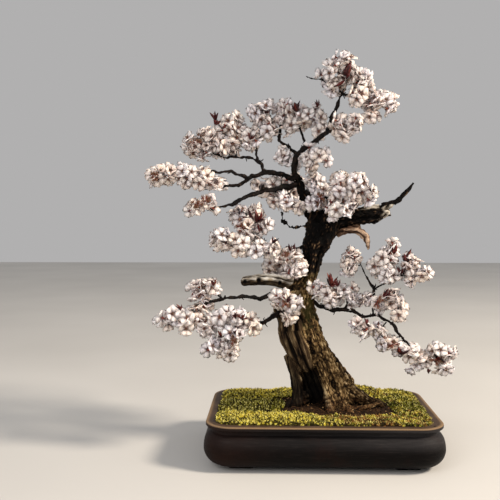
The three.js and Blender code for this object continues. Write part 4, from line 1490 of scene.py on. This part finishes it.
def make_blossom():
    chance = np.random.default_rng(5)
    stocks = {
        "open": [flower(chance, opened) for opened in (1.0, 0.95, 0.9, 0.84, 0.76)],
        "cupped": [flower(chance, opened) for opened in (0.35, 0.2)],
        "bud": flower_bud(),
        "centre": flower_centre(chance),
        "calyx": calyx(),
        "leaf": [young_leaf(chance) for _ in range(4)],
    }
    white, heart, red, leafy = petal_white(), centre_red(), stalk_red(), leaf_red()
    twig_bark = bpy.data.materials["branch_bark"]
    for seed, (name, (bunches, branches)) in enumerate(BOUGHS.items()):
        bough = Bough()
        wood = wood_points(branches)
        for number, bunch in enumerate(bunches):
            dress(bough, f"blossoms_{bunch}", [seed, number], stocks, wood)
            decorate(bough, bunch, stocks, chance)
        leaf_nodes = [LEAF_NODES[name]] if name in LEAF_NODES else []
        for node in leaf_nodes:
            low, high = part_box(node)
            foot_spot = Vector(((low.x + high.x) / 2, (low.y + high.y) / 2, low.z + 3 * MM))
            grow_tuft(bough, foot_spot, Vector((0, -0.35, 1)), 1.7, stocks, chance)
        finished(set_out(bough.petals), f"petals_{name}", white,
                 [f"blossoms_{bunch}" for bunch in bunches])
        finished(set_out(bough.centres), f"centres_{name}", heart, smooth=False)
        finished(set_out(bough.sepals), f"sepals_{name}", red, smooth=False)
        finished(tubes(bough.stalks, 4), f"stalks_{name}", red)
        twigs = tubes(bough.twigs, 6)
        carry(twigs, "relief", np.full(len(twigs.vertices), 0.5))
        finished(twigs, f"twigs_{name}", twig_bark)
        finished(set_out(bough.leaves), f"leaves_of_{name}", leafy, leaf_nodes)


# ---------------------------------------------------------------- stage


def make_floor():
    bm = bmesh.new()
    bmesh.ops.create_grid(bm, x_segments=1, y_segments=1, size=6.0)
    floor = bpy.data.objects.new("floor", mesh_of(bm))
    bpy.context.scene.collection.objects.link(floor)
    pale = Finish("pale_floor", Roughness=0.9)
    cloud = pale.grain(pale.place(), 0.7, 2, 0.5)
    pale.wear(pale.ramp(cloud, stop(0.3, 196, 194, 190), stop(0.7, 206, 204, 200)))
    floor.data.materials.append(pale.material)


def make_light(name, place, aim, size, watts, colour):
    lamp = bpy.data.lights.new(name, "AREA")
    lamp.shape = "DISK"
    lamp.size = size
    lamp.energy = watts
    lamp.color = colour
    light = bpy.data.objects.new(name, lamp)
    light.location = place
    light.rotation_euler = (Vector(aim) - Vector(place)).to_track_quat("-Z", "Y").to_euler()
    bpy.context.scene.collection.objects.link(light)


def make_lights():
    aim = (0, 0, 0.36)
    make_light("key", (2.8, -1.0, 2.35), aim, 0.8, 180, (1.0, 0.88, 0.74))
    make_light("fill", (-1.2, -2.1, 1.5), aim, 1.8, 30, (1.0, 0.97, 0.96))
    world = bpy.data.worlds.new("studio")
    world.use_nodes = True
    sky = world.node_tree.nodes["Background"]
    sky.inputs["Color"].default_value = (0.8, 0.79, 0.79, 1)
    sky.inputs["Strength"].default_value = 0.55
    bpy.context.scene.world = world
    bpy.context.scene.view_settings.view_transform = "Standard"


def make_camera():
    lens = bpy.data.cameras.new("camera")
    lens.lens = 50.98
    lens.sensor_width = 36
    lens.clip_start = 0.05
    lens.clip_end = 30
    camera = bpy.data.objects.new("camera", lens)
    camera.location = (pot_middle.x - 91 * MM, pot_middle.y - 1295 * MM, 418 * MM)
    camera.rotation_euler = (math.radians(90 - 2.265), 0, math.radians(1.699))
    bpy.context.scene.collection.objects.link(camera)
    bpy.context.scene.camera = camera


make_camera()
make_pot()
make_drainage()
make_trunk()
make_branches()
make_spurs()
make_soil()
make_moss()
make_grit()
make_blossom()
make_floor()
make_lights()
